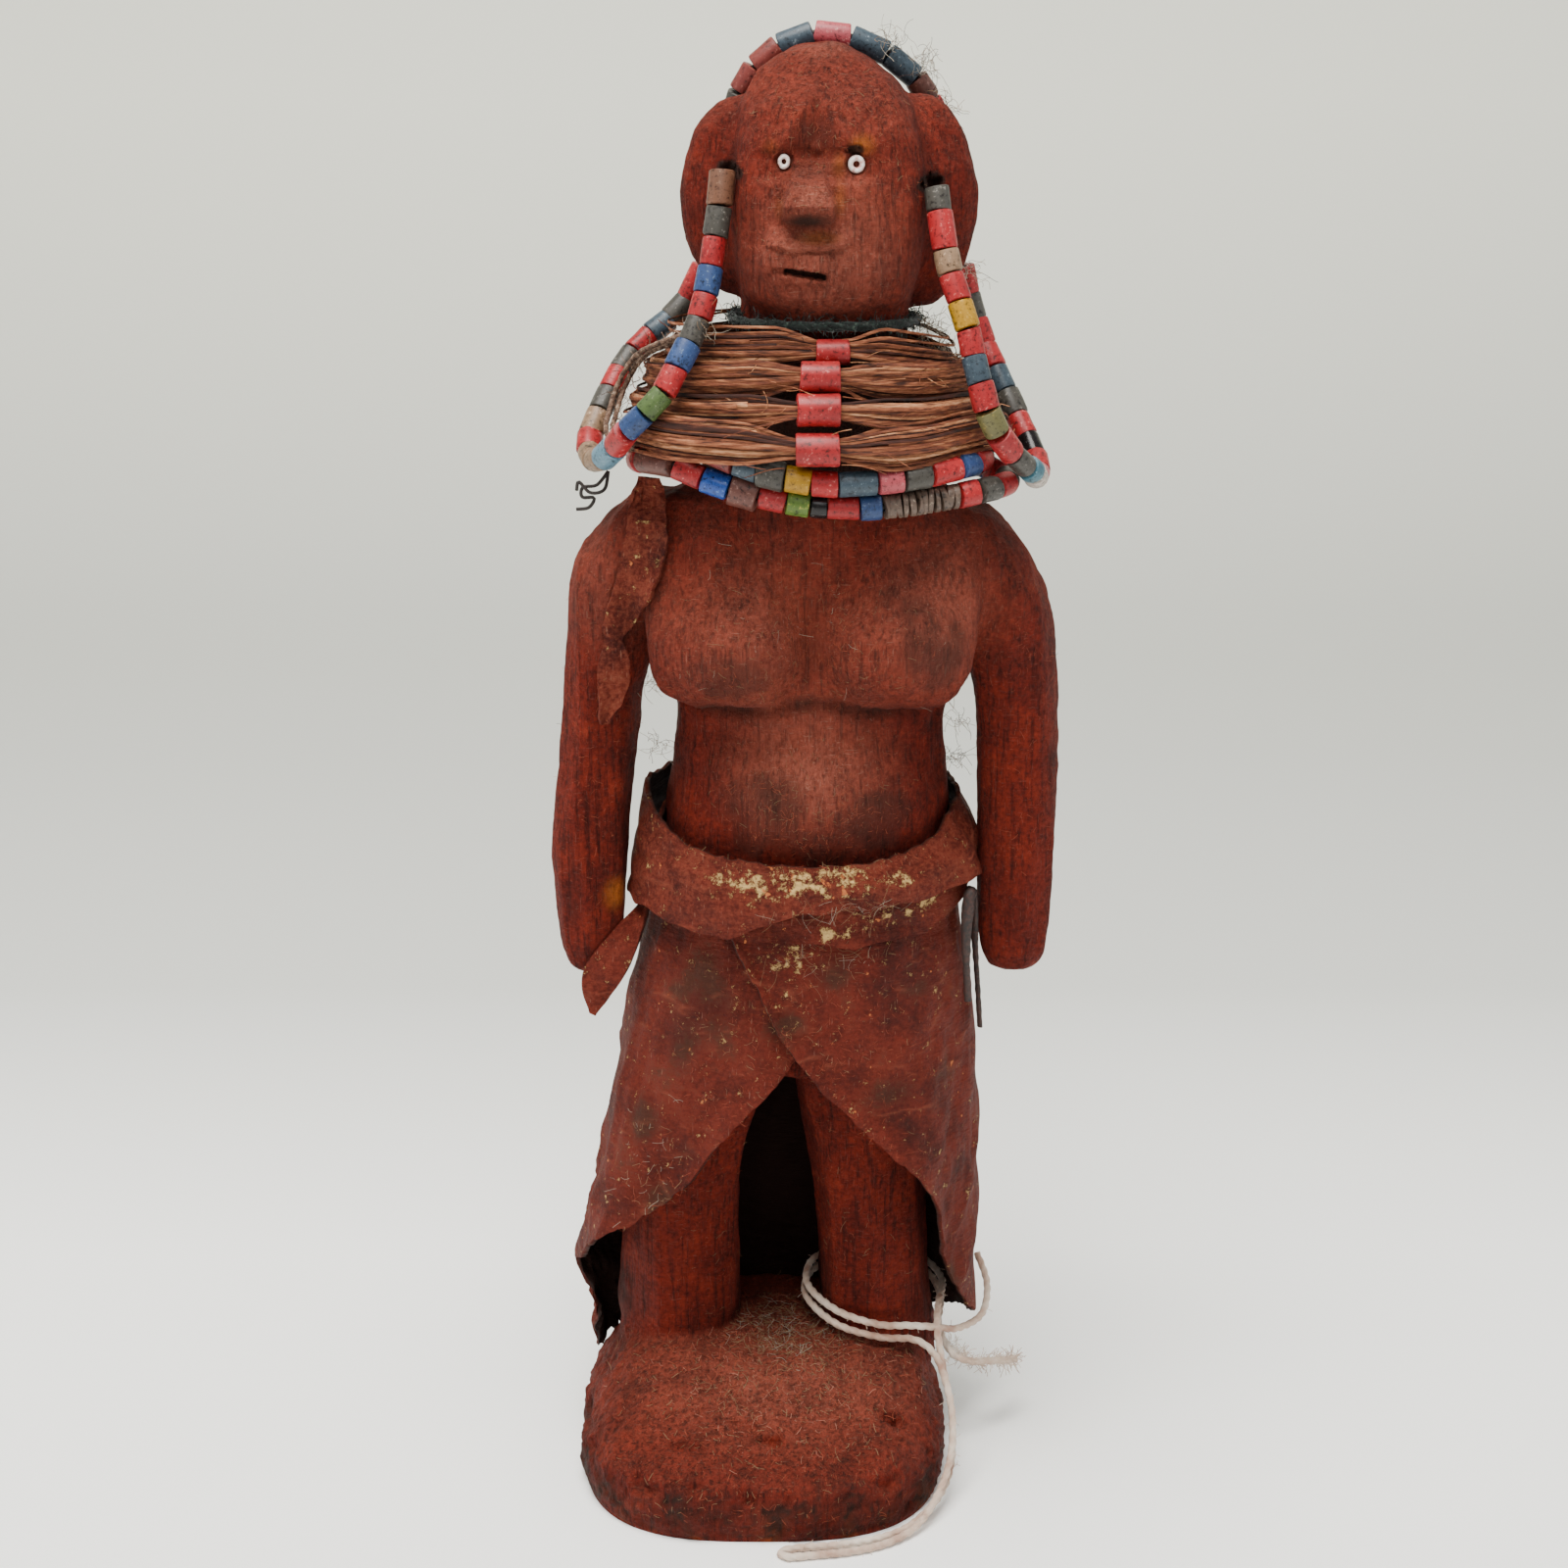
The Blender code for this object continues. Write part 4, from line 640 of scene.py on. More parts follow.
# Two closed strings of tube beads lie on the shoulders. The beads are old trade beads, mostly opaque drawn glass
# and some clay and bark, cut to short tubes; each recipe names them in order with their lengths in millimetres.
NECKLACE_LOWER = (
    (12.5, -14, 204.6), (-0.5, -13.4, 206.6), (-10.3, -12, 209.4), (-18, -8.5, 212), (-22.5, -2, 211),
    (-22, 7, 210), (-14, 18, 211), (-2, 23.5, 213), (10, 25.5, 214), (22, 23.5, 213), (34, 18, 211),
    (43.5, 8, 207.5), (46.6, -1, 206.8), (41.5, -8.5, 206.6), (31.3, -12, 205.4), (22, -13.8, 204.6))
NECKLACE_UPPER = (
    (10.3, -16, 208.8), (0, -15.2, 211), (-8, -13, 213.6), (-15, -8.6, 215.6), (-18.4, -1, 215.4),
    (-16.5, 8, 215), (-7, 17, 216), (10, 21.5, 218), (28, 17, 216), (38, 8, 212.4), (41.6, -1, 211),
    (38, -8.8, 210.2), (31, -13, 209.4), (21, -15.4, 208.8))
LOWER_RECIPE = ("brown 9.5, red 5.8, gloss 5.2, brown 5.6 6.1, red 5, lime 4.5, jet 3.2, red 5.8, blue 4.2, "
                + "disc 1.2 4.7, " * 12 + "red 4.2, grey 4.4")
UPPER_RECIPE = ("brown 7, clay 4.8, rust 5.8, steel 4.6, grey 5 5.5, gold 4.8, red 4.9, steel 7.2, pink 4.9, "
                "grey 5.3, red 6.3, blue 4.6")
UNSEEN, UNSEEN_LENGTH = ("red", "grey", "red", "blue", "clay", "brown"), 5.1
NECKLACE_CLEAR = 2.4
BEAD_WIDTH, BEAD_BORE, BEAD_GAP = 4.7, 1.7, 0.16
# For each kind: its own colour, the paler colour where it is scuffed, and the grime that stays in its dips
BEAD_COLOURS = {
    "red": ("#931f22", "#c26a64", "#3a0f0e"), "pink": ("#a2444c", "#c98c86", "#461a1a"),
    "rust": ("#6f2f2a", "#a06357", "#2e110f"), "blue": ("#2c4069", "#687d97", "#101827"),
    "gloss": ("#25458c", "#6080b4", "#0d1730"), "steel": ("#35424c", "#68767e", "#141b21"),
    "sky": ("#567788", "#8fa6ad", "#233138"), "grey": ("#3e3b36", "#76716a", "#171412"),
    "brown": ("#56332c", "#87655a", "#20110e"), "clay": ("#80664f", "#b39a80", "#332519"),
    "bark": ("#6b4735", "#9c7a62", "#24140d"), "gold": ("#9d7416", "#c2a050", "#40290a"),
    "lime": ("#56702a", "#a8a44a", "#26330f"), "olive": ("#65603a", "#a38f4b", "#2a2714"),
    "moss": ("#46592f", "#7a8560", "#1f2812"), "jet": ("#151213", "#4f4b4b", "#080707"),
    "white": ("#a89c92", "#d0c8be", "#4d443d"), "teal": ("#35606e", "#7d9ea4", "#16282d"),
    "disc": ("#5a4a40", "#938374", "#1d1510")}

bead_kinds, bead_matters = [], []
for kind, (own, scuffed, grime) in BEAD_COLOURS.items():
    made, add = matter("worn opaque drawn glass, " + kind)
    # A matt skin of fine scratches over solid colour, with paler rubbed spots about 1.2 mm across and grime between
    spot = add("TexCoord", {}, "Object")
    patch = add("TexNoise", {"Vector": spot, "Scale": per(2.0), "Detail": 6.0, "Roughness": 0.72})
    grit = add("TexNoise", {"Vector": spot, "Scale": per(0.7), "Detail": 4.0, "Roughness": 0.7})
    whole = add("TexNoise", {"Vector": spot, "Scale": per(9), "Detail": 1.0})
    mixed = add("Math", {0: patch, 1: 0.6, 2: grit}, operation="MULTIPLY_ADD")
    shade = add("ValToRGB", {"Fac": mixed}, stops=((0.62, grime), (0.76, own), (0.92, own), (1.0, scuffed)))
    uneven = add("MapRange", {"Value": whole, "From Min": 0.3, "From Max": 0.7, "To Min": 0.8, "To Max": 1.18})
    toned = add("Mix", {0: 1.0, 6: shade, 7: uneven}, 2, data_type="RGBA", blend_type="MULTIPLY")
    relief = add("Bump", {"Height": mixed, "Strength": 0.35, "Distance": 0.12 * MM})
    shine = 0.2 if kind in ("gloss", "jet") else 0.42
    coat = add("BsdfPrincipled", {
        "Base Color": toned, "Roughness": shine, "Normal": relief, "IOR": 1.5, "Specular IOR Level": 0.3})
    add("OutputMaterial", {"Surface": coat})
    bead_kinds.append(kind)
    bead_matters.append(made)
thread, add = matter("dark waxed sinew thread")
# Nearly black with grease, it shows only in the gaps
coat = add("BsdfPrincipled", {"Base Color": "#1d1411", "Roughness": 0.7})
add("OutputMaterial", {"Surface": coat})
bead_matters.append(thread)
THREAD_KIND = len(bead_kinds)


def bead(start, end, across, bore, kind, sides=22):
    """A cut tube bead between two points: a little out of round, its ends cut slightly askew, with a worn edge."""
    start, end = np.array(start, float), np.array(end, float)
    way = end - start
    length = np.linalg.norm(way)
    way /= length
    sideways = np.cross(way, (0.31, 0.17, 0.93))
    sideways /= np.linalg.norm(sideways)
    third = np.cross(way, sideways)
    half, outer, inner = length / 2, across / 2, bore / 2
    edge = min(0.32, 0.3 * half)
    rings = [(-half, outer - edge * 0.75), (-half + edge * 0.35, outer - edge * 0.2), (-half + edge * 1.4, outer),
             (0, outer * (1 + chance.normal(0, 0.012))), (half - edge * 1.4, outer),
             (half - edge * 0.35, outer - edge * 0.2), (half, outer - edge * 0.75), (half, inner),
             (half - min(1.2, half * 0.6), inner * 0.9),
             (-half + min(1.2, half * 0.6), inner * 0.9), (-half, inner)]
    turns = np.linspace(0, 2 * math.pi, sides, endpoint=False)
    askew = chance.normal(0, 0.045, (2, 2))
    oval, lean = chance.normal(0, 0.02), chance.uniform(0, math.pi)
    chips = 1 + chance.normal(0, 0.012, sides)
    points = []
    for along, radius in rings:
        slant = askew[0] if along < 0 else askew[1]
        for turn, chip in zip(turns, chips):
            a, b = radius * math.cos(turn), radius * math.sin(turn)
            grow = 1 + oval * math.cos(2 * (turn - lean))
            shifted = along + (slant[0] * a + slant[1] * b) * min(abs(along) / half, 1)
            grow *= chip if radius > inner else 1
            points.append((start + end) / 2 + way * shifted + (sideways * a + third * b) * grow)
    return points, [tuple(reversed(face)) for face in ring_faces(len(rings), sides, True)], kind


def strung(name, node, line, recipe, closed=False):
    """The beads of a recipe threaded along a line from its start, then as many unseen ones as it still takes."""
    path = np.append(line, line[:1], axis=0) if closed else line
    lengths = length_so_far(path)
    wanted = [entry.split() for entry in recipe.rstrip(", ").split(", ")]
    used = sum(float(entry[1]) for entry in wanted)
    left = lengths[-1] - used
    extra = max(round(left / UNSEEN_LENGTH), 0)
    wanted += [(UNSEEN[at % len(UNSEEN)], UNSEEN_LENGTH) for at in range(extra)]
    fit = lengths[-1] / sum(float(entry[1]) for entry in wanted) if extra == 0 else 1.0
    stretch = left / (UNSEEN_LENGTH * extra) if extra else 1.0
    shapes, at = [], 0.0

    def spot_at(place):
        return np.array([np.interp(place, lengths, path[:, axis]) for axis in range(3)])

    for number, entry in enumerate(wanted):
        size = float(entry[1]) * (stretch if number >= len(wanted) - extra and extra else fit)
        across = float(entry[2]) if len(entry) > 2 else BEAD_WIDTH * (1 + chance.normal(0, 0.03))
        gap = BEAD_GAP + abs(chance.normal(0, 0.05))
        tilt = chance.normal(0, 0.09 if entry[0] == "disc" else 0.06, 3)
        low, high = spot_at(at + gap / 2) - tilt / 2, spot_at(at + size - gap / 2) + tilt / 2
        shapes.append(bead(low, high, across, BEAD_BORE, bead_kinds.index(entry[0])))
        at += size
    shapes.append(tube(line, BEAD_BORE * 0.36, 6, closed=closed, kind=THREAD_KIND))
    made = piece(name, shapes, bead_matters, sharp=42)
    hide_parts(node)
    return made


def from_left(line, start_x):
    """A closed line turned to run from image left to right across the front, starting where it passes x in front."""
    line = line[::-1]
    front_places = [at for at in range(len(line)) if line[at][1] < 3 and line[at - 1][0] < start_x <= line[at][0]]
    return np.roll(line, -front_places[0], axis=0)


placed = []
for name, route, recipe, start_x in (("necklace_lower", NECKLACE_LOWER, LOWER_RECIPE, -22.0),
                                     ("necklace_upper", NECKLACE_UPPER, UPPER_RECIPE, -17.6)):
    line = settled(even_line(route, STRAND_STEP, True), NECKLACE_CLEAR, placed, True)
    placed.append((line, NECKLACE_CLEAR))
    strung(name + "_beads", name, from_left(line, start_x), recipe, closed=True)

# The cord at the throat is a wool yarn of several strands, dark green-black, tied once round the neck above the
# collar and matted with dust and loose fibre.
NECK_CORD_WIDTH, NECK_CORD_TWIST = 1.9, 4.2


def ring_line(front, left, right, back_y, back_z):
    """A closed line round the neck through its front, left and right points, in millimetres."""
    middle_x, side_y = (left[0] + right[0]) / 2, left[1]

    def corner(side, end_y, end_z):
        diagonal = math.sqrt(0.5)
        return (middle_x + (side[0] - middle_x) * diagonal, side_y + (end_y - side_y) * diagonal,
                (side[2] + end_z) / 2)

    return (front, corner(left, *front[1:]), left, corner(left, back_y, back_z), (middle_x, back_y, back_z),
            corner(right, back_y, back_z), right, corner(right, *front[1:]))


yarn, add = matter("dark twisted wool yarn")
# Faded nearly black with a green cast, with pale dust in the twist
spot = add("TexCoord", {}, "Object")
fuzz = add("TexNoise", {"Vector": spot, "Scale": per(0.7), "Detail": 5.0, "Roughness": 0.75})
tint = add("ValToRGB", {"Fac": fuzz}, stops=(
    (0.4, "#0d100e"), (0.54, "#1a231f"), (0.64, "#34433b"), (0.76, "#81786a")))
relief = add("Bump", {"Height": fuzz, "Strength": 0.8, "Distance": 0.3 * MM})
coat = add("BsdfPrincipled", {
    "Base Color": tint, "Roughness": 0.95, "Normal": relief, "Specular IOR Level": 0.2, "Sheen Weight": 0.2})
add("OutputMaterial", {"Surface": coat})
NECK_RING = ring_line((12, -8.8, 236.6), (-5.2, 6.5, 236.4), (29, 6.5, 236), 21.4, 236.6)
neck_line = settled(even_line(NECK_RING, STRAND_STEP, True), NECK_CORD_WIDTH / 2, placed, True)
placed.append((neck_line, NECK_CORD_WIDTH / 2))
shapes = [tube(even_line(neck_line, 0.5, True), NECK_CORD_WIDTH / 2, 15, closed=True, lobes=3, twist=NECK_CORD_TWIST)]
shapes += hairs_on(neck_line, chance.integers(0, len(neck_line), 900), 0.5, (1.0, 3.2), 0.07, 0.4)
neck_cord = piece("neck_cord_yarn", shapes, [yarn])
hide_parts("neck_cord")

# The collar is four hoops of split plant fibre, bark or root, peeled into flat strips and laid side by side.
# Each hoop is gathered thin through one red tube bead at the front and fans out on both sides of it.
HOOPS = (
    ((13.2, -10.3, 232.2), (-15.9, 7, 230.4), (35.2, 7, 227.6), 26.5, 231),
    ((10.9, -14.6, 228.4), (-20.6, 7, 225.6), (41, 7, 223.2), 28.5, 226),
    ((10.6, -17, 222.8), (-23.4, 7, 220), (43, 7, 217.8), 30, 221),
    ((10.4, -19, 216), (-24.6, 7, 214.6), (44.2, 7, 212), 31, 215.6))
COLLAR_BEAD_LENGTHS = (6.0, 7.2, 7.8, 7.8)
COLLAR_BEAD_WIDTHS = (4.8, 5.7, 6.0, 6.0)
COLLAR_BEAD_BORE = 2.8
STRIPS_IN_HOOP, LOOSE_SHARE, WHOLE_SHARE, HAIRS_ON_HOOP, HOOP_CLEAR = 56, 0.14, 0.8, 34, 2.6
fibre_matters = []
for number, (dark, own, pale) in enumerate((("#22100a", "#66331f", "#96603e"), ("#2e160e", "#7c452b", "#b37a56"),
                                            ("#4a2619", "#a46b48", "#d8a880"), ("#120805", "#34170f", "#5b3022"))):
    made, add = matter(f"split plant fibre, shade {number + 1}")
    # Dry, stringy and matt: the split face is streaked with paler broken cells about half a millimetre across
    spot = add("TexCoord", {}, "Object")
    drawn = add("Mapping", {"Vector": spot, "Scale": per(5.5, 3.0, 0.5)})
    cells = add("TexNoise", {"Vector": drawn, "Scale": 1.0, "Detail": 5.0, "Roughness": 0.7})
    tint = add("ValToRGB", {"Fac": cells}, stops=((0.35, dark), (0.52, own), (0.72, pale)))
    relief = add("Bump", {"Height": cells, "Strength": 0.7, "Distance": 0.25 * MM})
    coat = add("BsdfPrincipled", {"Base Color": tint, "Roughness": 0.78, "Normal": relief, "Specular IOR Level": 0.3})
    add("OutputMaterial", {"Surface": coat})
    fibre_matters.append(made)

for number in (4, 3, 2, 1):
    front_point = np.array(HOOPS[number - 1][0], float)
    half_bead = COLLAR_BEAD_LENGTHS[number - 1] / 2
    line = settled(even_line(ring_line(*HOOPS[number - 1]), STRAND_STEP, True), HOOP_CLEAR, placed, True)
    away = np.linalg.norm(line - front_point, axis=1)
    line = line[away > half_bead + 2.4]
    turn = np.argmax(np.linalg.norm(line - np.roll(line, 1, axis=0), axis=1))
    line = np.roll(line, -turn, axis=0)
    placed.append((line, HOOP_CLEAR))
    entering = -1 if line[0][0] < front_point[0] else 1
    first = front_point + np.array((entering, 0, 0)) * (half_bead - 1.5)
    last = front_point - np.array((entering, 0, 0)) * (half_bead - 1.5)
    run = even_line(np.concatenate([[first], line[::3], [line[-1]], [last]]), 1.7)
    share = np.linspace(0, 1, len(run))
    gathered = step_up(share, 0.0, 0.065) * step_up(1 - share, 0.0, 0.065)
    outward = run - (run.mean(axis=0) * (1, 1, 0) + (0, 0, 1) * run[:, 2:3])
    outward /= np.linalg.norm(outward, axis=1)[:, None]
    shapes = []
    for strip in range(STRIPS_IN_HOOP):
        around_turn, reach = chance.uniform(0, 2 * math.pi), math.sqrt(chance.uniform(0, 1))
        loose = chance.uniform(0, 1) < LOOSE_SHARE
        tall, deep = (3.0, 1.4) if not loose else (4.6, 2.2)
        seed = chance.uniform(0, 99, 3)
        sway = np.array([[noise.noise((at * 2.6 + seed[0], seed[1], layer)) for layer in (0.0, 7.7)]
                         for at in share])
        up_shift = reach * math.sin(around_turn) * tall + sway[:, 0] * (1.7 if loose else 0.6)
        out_shift = reach * math.cos(around_turn) * deep + sway[:, 1] * (1.2 if loose else 0.6)
        squeeze = 0.42 + 0.58 * gathered
        centres = run + outward * (out_shift * squeeze)[:, None]
        centres[:, 2] += up_shift * squeeze
        thick = chance.uniform(0.1, 0.19)
        thin_out = thick * (0.8 + 0.5 * np.array([noise.noise((at * 9 + seed[2], 1.0, 2.0)) for at in share]))
        start_at = 0 if chance.uniform(0, 1) < WHOLE_SHARE else chance.integers(4, 14)
        end_at = len(run) if chance.uniform(0, 1) < WHOLE_SHARE else len(run) - chance.integers(4, 14)
        shapes.append(tube(centres[start_at:end_at], thin_out[start_at:end_at], 4, flat=chance.uniform(1.6, 3.6),
                           kind=int(chance.choice((0, 1, 2, 3), p=(0.3, 0.34, 0.2, 0.16)))))
    for _ in range(HAIRS_ON_HOOP):
        at = chance.integers(0, len(run))
        along = (run[min(at + 1, len(run) - 1)] - run[max(at - 1, 0)]) * chance.choice((-1, 1))
        start = run[at] + outward[at] * chance.uniform(0.5, 2.2) + np.array((0, 0, chance.normal(0, 1.8)))
        way = along + outward[at] * 0.5 + chance.normal(0, 0.5, 3)
        shapes.append(hair(start, way, chance.uniform(3, 9), 0.09, 0.14, kind=int(chance.integers(0, 3))))
    hoop = piece(f"collar_hoop_{number}_fibres", shapes, fibre_matters, sharp=60)
    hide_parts(f"collar_hoop_{number}")
    low, high = front_point - np.array((half_bead, 0, 0)), front_point + np.array((half_bead, 0, 0))
    collar_bead = piece(f"collar_bead_{number}_glass",
                        [bead(low, high, COLLAR_BEAD_WIDTHS[number - 1], COLLAR_BEAD_BORE, bead_kinds.index("red"),
                              sides=28)], bead_matters, sharp=42)
    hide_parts(f"collar_bead_{number}")
    placed.append((np.array([low * (1 - part) + high * part for part in (0.1, 0.3, 0.5, 0.7, 0.9)]),
                   COLLAR_BEAD_WIDTHS[number - 1] / 2))

# A string of beads passes through a hole beside each ear disc, hangs over the collar and comes back up behind
# the head, and one more string runs up behind the crown from one side to the other.
EAR_LOOP_RIGHT = (
    (-6.0, -0.6, 263.4), (-6.9, -2.2, 257.8), (-8.3, -4, 250.2), (-9.8, -6.5, 241.6), (-11.4, -8.5, 236.6),
    (-13.5, -10.5, 232.3), (-15.3, -12, 228.2), (-17, -12.8, 223.6), (-20.4, -12, 218.4), (-25, -8, 214.8),
    (-30.6, -1, 210.6), (-32.6, 6, 212.7), (-31, 10, 217.1), (-29, 14, 221.1), (-26.7, 18, 225.2),
    (-22.5, 22, 230), (-16.5, 25, 234.5), (-13, 26.5, 239), (-11.2, 26, 243.4))
EAR_LOOP_LEFT = (
    (31.2, -0.8, 260.4), (32.4, -2.8, 254.6), (34, -5, 247.6), (35.4, -6.5, 243), (37, -8, 238.4),
    (38.2, -9, 233.9), (39.2, -10, 229.3), (40.3, -11, 225.2), (41.8, -11.5, 220.4), (45, -9, 214.6),
    (48.4, -4, 209.4), (51, 2, 206.6), (52.6, 8, 207.6), (51.4, 12.5, 211.3), (49.6, 16, 215.3),
    (47.6, 19, 219.5), (45.2, 22, 224.5), (43, 24.6, 229), (40.6, 26.2, 236), (38.9, 26, 243.4))
CROWN_STRAND = (
    (-10.8, 26, 244.6), (-9.6, 26, 252), (-8.2, 25, 260), (-6.4, 22.6, 268), (-4, 20.6, 275), (-1.4, 19.6, 279.8),
    (3.4, 19.2, 283.6), (9.8, 19, 286), (16.8, 19, 285.7), (23.2, 19.2, 283.2), (28.6, 20, 279), (32, 21.4, 274),
    (34.8, 23.2, 267.6), (36.8, 25, 260), (38, 26, 252), (38.5, 26, 244.6))
RIGHT_RECIPE = (
    "bark 6.4 4.9, grey 5.6, red 5.3, blue 5.2, red 4.6, grey 5.0, blue 5.0, red 5.0, moss 5.2, blue 5.0, red 6.0, "
    "sky 6.2, clay 4.6, clay 4.2, red 4.8, clay 5.0, grey 5.2, red 5.0, grey 5.0, red 5.0, steel 5.0, grey 5.0")
LEFT_RECIPE = (
    "grey 4.6, red 6.8, clay 4.6, red 5.2, gold 5.2, red 5.0, steel 5.0, red 4.9, olive 5.2, red 5.8, grey 5.6, "
    "teal 3.2, white 4.0, pink 4.8, red 5.0, jet 4.6, red 5.0, grey 5.4, steel 5.2, red 5.2")
CROWN_RECIPE = (
    "clay 5, red 5, grey 5, brown 5, grey 5.2, grey 4.4, rust 5.2, rust 6, steel 6.8, pink 7, steel 7.4, steel 7, "
    "brown 5, red 5, grey 5")
LOOP_CLEAR = 2.3
ends = []
for name, route, recipe in (("ear_loop_right", EAR_LOOP_RIGHT, RIGHT_RECIPE),
                            ("ear_loop_left", EAR_LOOP_LEFT, LEFT_RECIPE),
                            ("crown_strand", CROWN_STRAND, CROWN_RECIPE)):
    line = settled(even_line(route, STRAND_STEP), LOOP_CLEAR, placed)
    placed.append((line, LOOP_CLEAR))
    strung(name + "_beads", name, line, recipe)
    ends.append((line[0], line[-1]))
# Behind each ear disc the two threads are knotted together
ties = []
for loop_end, crown_end in ((ends[0][1], ends[2][0]), (ends[1][1], ends[2][1])):
    tie_line = even_line([loop_end, (loop_end + crown_end) / 2 + (0, 0.5, 0), crown_end], 0.3)
    share = np.linspace(-1, 1, len(tie_line))
    ties.append(tube(tie_line, 0.4 + 0.7 * np.clip(1 - (share / 0.5) ** 2, 0, 1), 9))
crown_ties = piece("crown_strand_ties", ties, [thread])

# The eyes are two small ring beads of white glass, each a little out of round, pressed into sockets that were cut
# for them; the wood round them is painted dark as shade in the sockets.
white_glass, add = matter("opaque white glass ring bead")
# Milky glass with a satin skin; ochre has crept in from its edge
spot = add("TexCoord", {}, "Object")
creep = add("TexNoise", {"Vector": spot, "Scale": per(1.1), "Detail": 4.0})
tint = add("ValToRGB", {"Fac": creep}, stops=((0.36, "#c98f84"), (0.48, "#dfcbc2"), (0.62, "#efe8e2")))
coat = add("BsdfPrincipled", {"Base Color": tint, "Roughness": 0.35, "IOR": 1.5})
add("OutputMaterial", {"Surface": coat})
EYE_RINGS, EYE_SIDES, EYE_SUNK, EYE_HALF_THICK, EYE_TALL = 36, 14, 0.15, 0.62, 1.04
for name, eye_x, eye_z, across, hole in EYES:
    met, _, _, _ = wood.ray_cast(Vector((eye_x, -60, eye_z)), Vector((0, 1, 0)))
    middle, ring_half = (across / 2 + hole / 2) / 2, (across / 2 - hole / 2) / 2
    narrow = 0.86 if across < 3 else 1
    turns = np.linspace(0, 2 * math.pi, EYE_RINGS, endpoint=False)
    sections = np.linspace(0, 2 * math.pi, EYE_SIDES, endpoint=False)
    points = [(eye_x + (middle + ring_half * math.cos(section)) * math.cos(turn) * narrow,
               met.y - EYE_SUNK + EYE_HALF_THICK * math.sin(section),
               eye_z + (middle + ring_half * math.cos(section)) * math.sin(turn) * EYE_TALL)
              for turn in turns for section in sections]
    eye_bead = piece(name + "_glass", [(points, ring_faces(EYE_RINGS, EYE_SIDES, True), 0)], [white_glass])
    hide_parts(name)

# The skirt is one piece of goat hide, tanned, rubbed with ochre and fat and wrapped round the hips.
# Its end, from the doll's left, laps over its start in front, so its hem opens over the legs like a tent. Each row
# of CLOTHING is a height, half width, half depth and middle x and y; an edge's rows are wrap in degrees and height.
CLOTHING = (
    (150, 28.4, 18.6, 9, 9), (140, 29.0, 19.0, 8.9, 9), (128, 29.6, 19.4, 8.6, 9), (118, 30.6, 19.9, 8.4, 9),
    (102, 34.4, 21, 7.6, 9), (95, 35.2, 21.6, 7.2, 9), (70, 38.8, 23.2, 5.5, 9), (40, 41.8, 24.6, 2, 9),
    (27, 42.6, 25, 1, 9.4), (8, 43, 25.6, 0.6, 10))
BELT_TOP = (
    (0, 134), (40, 136), (70, 142), (90, 144.5), (180, 146), (270, 143.5), (300, 139), (330, 134.5), (360, 134))
SKIRT_HEM = (
    (-25, 121), (-10, 105), (0, 94.5), (10, 84), (18, 77.6), (30, 65), (42, 58.5), (57, 52), (72, 45), (90, 39),
    (97, 36), (104, 24), (112, 12.5), (122, 12), (134, 14), (146, 18.6), (180, 18.4), (205, 19.6), (225, 19),
    (240, 21), (255, 23.6), (270, 26), (280, 30), (292, 38), (302, 46), (310, 54), (317, 62.5), (333, 74),
    (344, 80.7), (352, 87), (360, 94.5), (366, 102), (374, 111), (384, 121))
HIDE, HIDE_LAYER, CLOTHING_SQUARENESS = 1.0, 1.4, 2.2
# Middle x, height, half width and half height of each patch of mould and each stain, in front
MOULD = (
    (-17, 143, 5, 5), (-11.5, 139, 7, 5), (-4.5, 131.5, 8, 6), (2.5, 131, 7, 5), (8.5, 132, 8, 4),
    (15, 131.5, 9, 6), (24, 123.6, 9, 4), (5.5, 115, 9, 6), (32, 125, 6, 3), (26, 131, 6, 3), (14, 121, 7, 3))
STAINS = (
    (-10, 106, 11, 15), (14, 113, 7, 6), (36, 88, 5, 5), (26, 86.5, 10, 6), (-16, 96, 6, 10), (4, 102, 7, 7),
    (40, 40, 6, 14), (-30, 128, 5, 6), (-19, 60, 9, 12), (30, 108, 9, 5), (-24, 78, 6, 8))


def around(wrap, height, out=0.0):
    """A place on the clothing: wrap in degrees from the front towards the doll's right, and a height."""
    heights = [row[0] for row in reversed(CLOTHING)]
    width, depth, x, y = (np.interp(height, heights, [row[column] for row in reversed(CLOTHING)])
                          for column in (1, 2, 3, 4))
    across, along = math.sin(math.radians(wrap)), math.cos(math.radians(wrap))
    across = math.copysign(abs(across) ** (2 / CLOTHING_SQUARENESS), across)
    along = math.copysign(abs(along) ** (2 / CLOTHING_SQUARENESS), along)
    return np.array((x - (width + out) * across, y - (depth + out) * along, height))


def edge_height(edge, wrap):
    """How high an edge is at a wrap."""
    return np.interp(wrap, [pair[0] for pair in edge], [pair[1] for pair in edge])


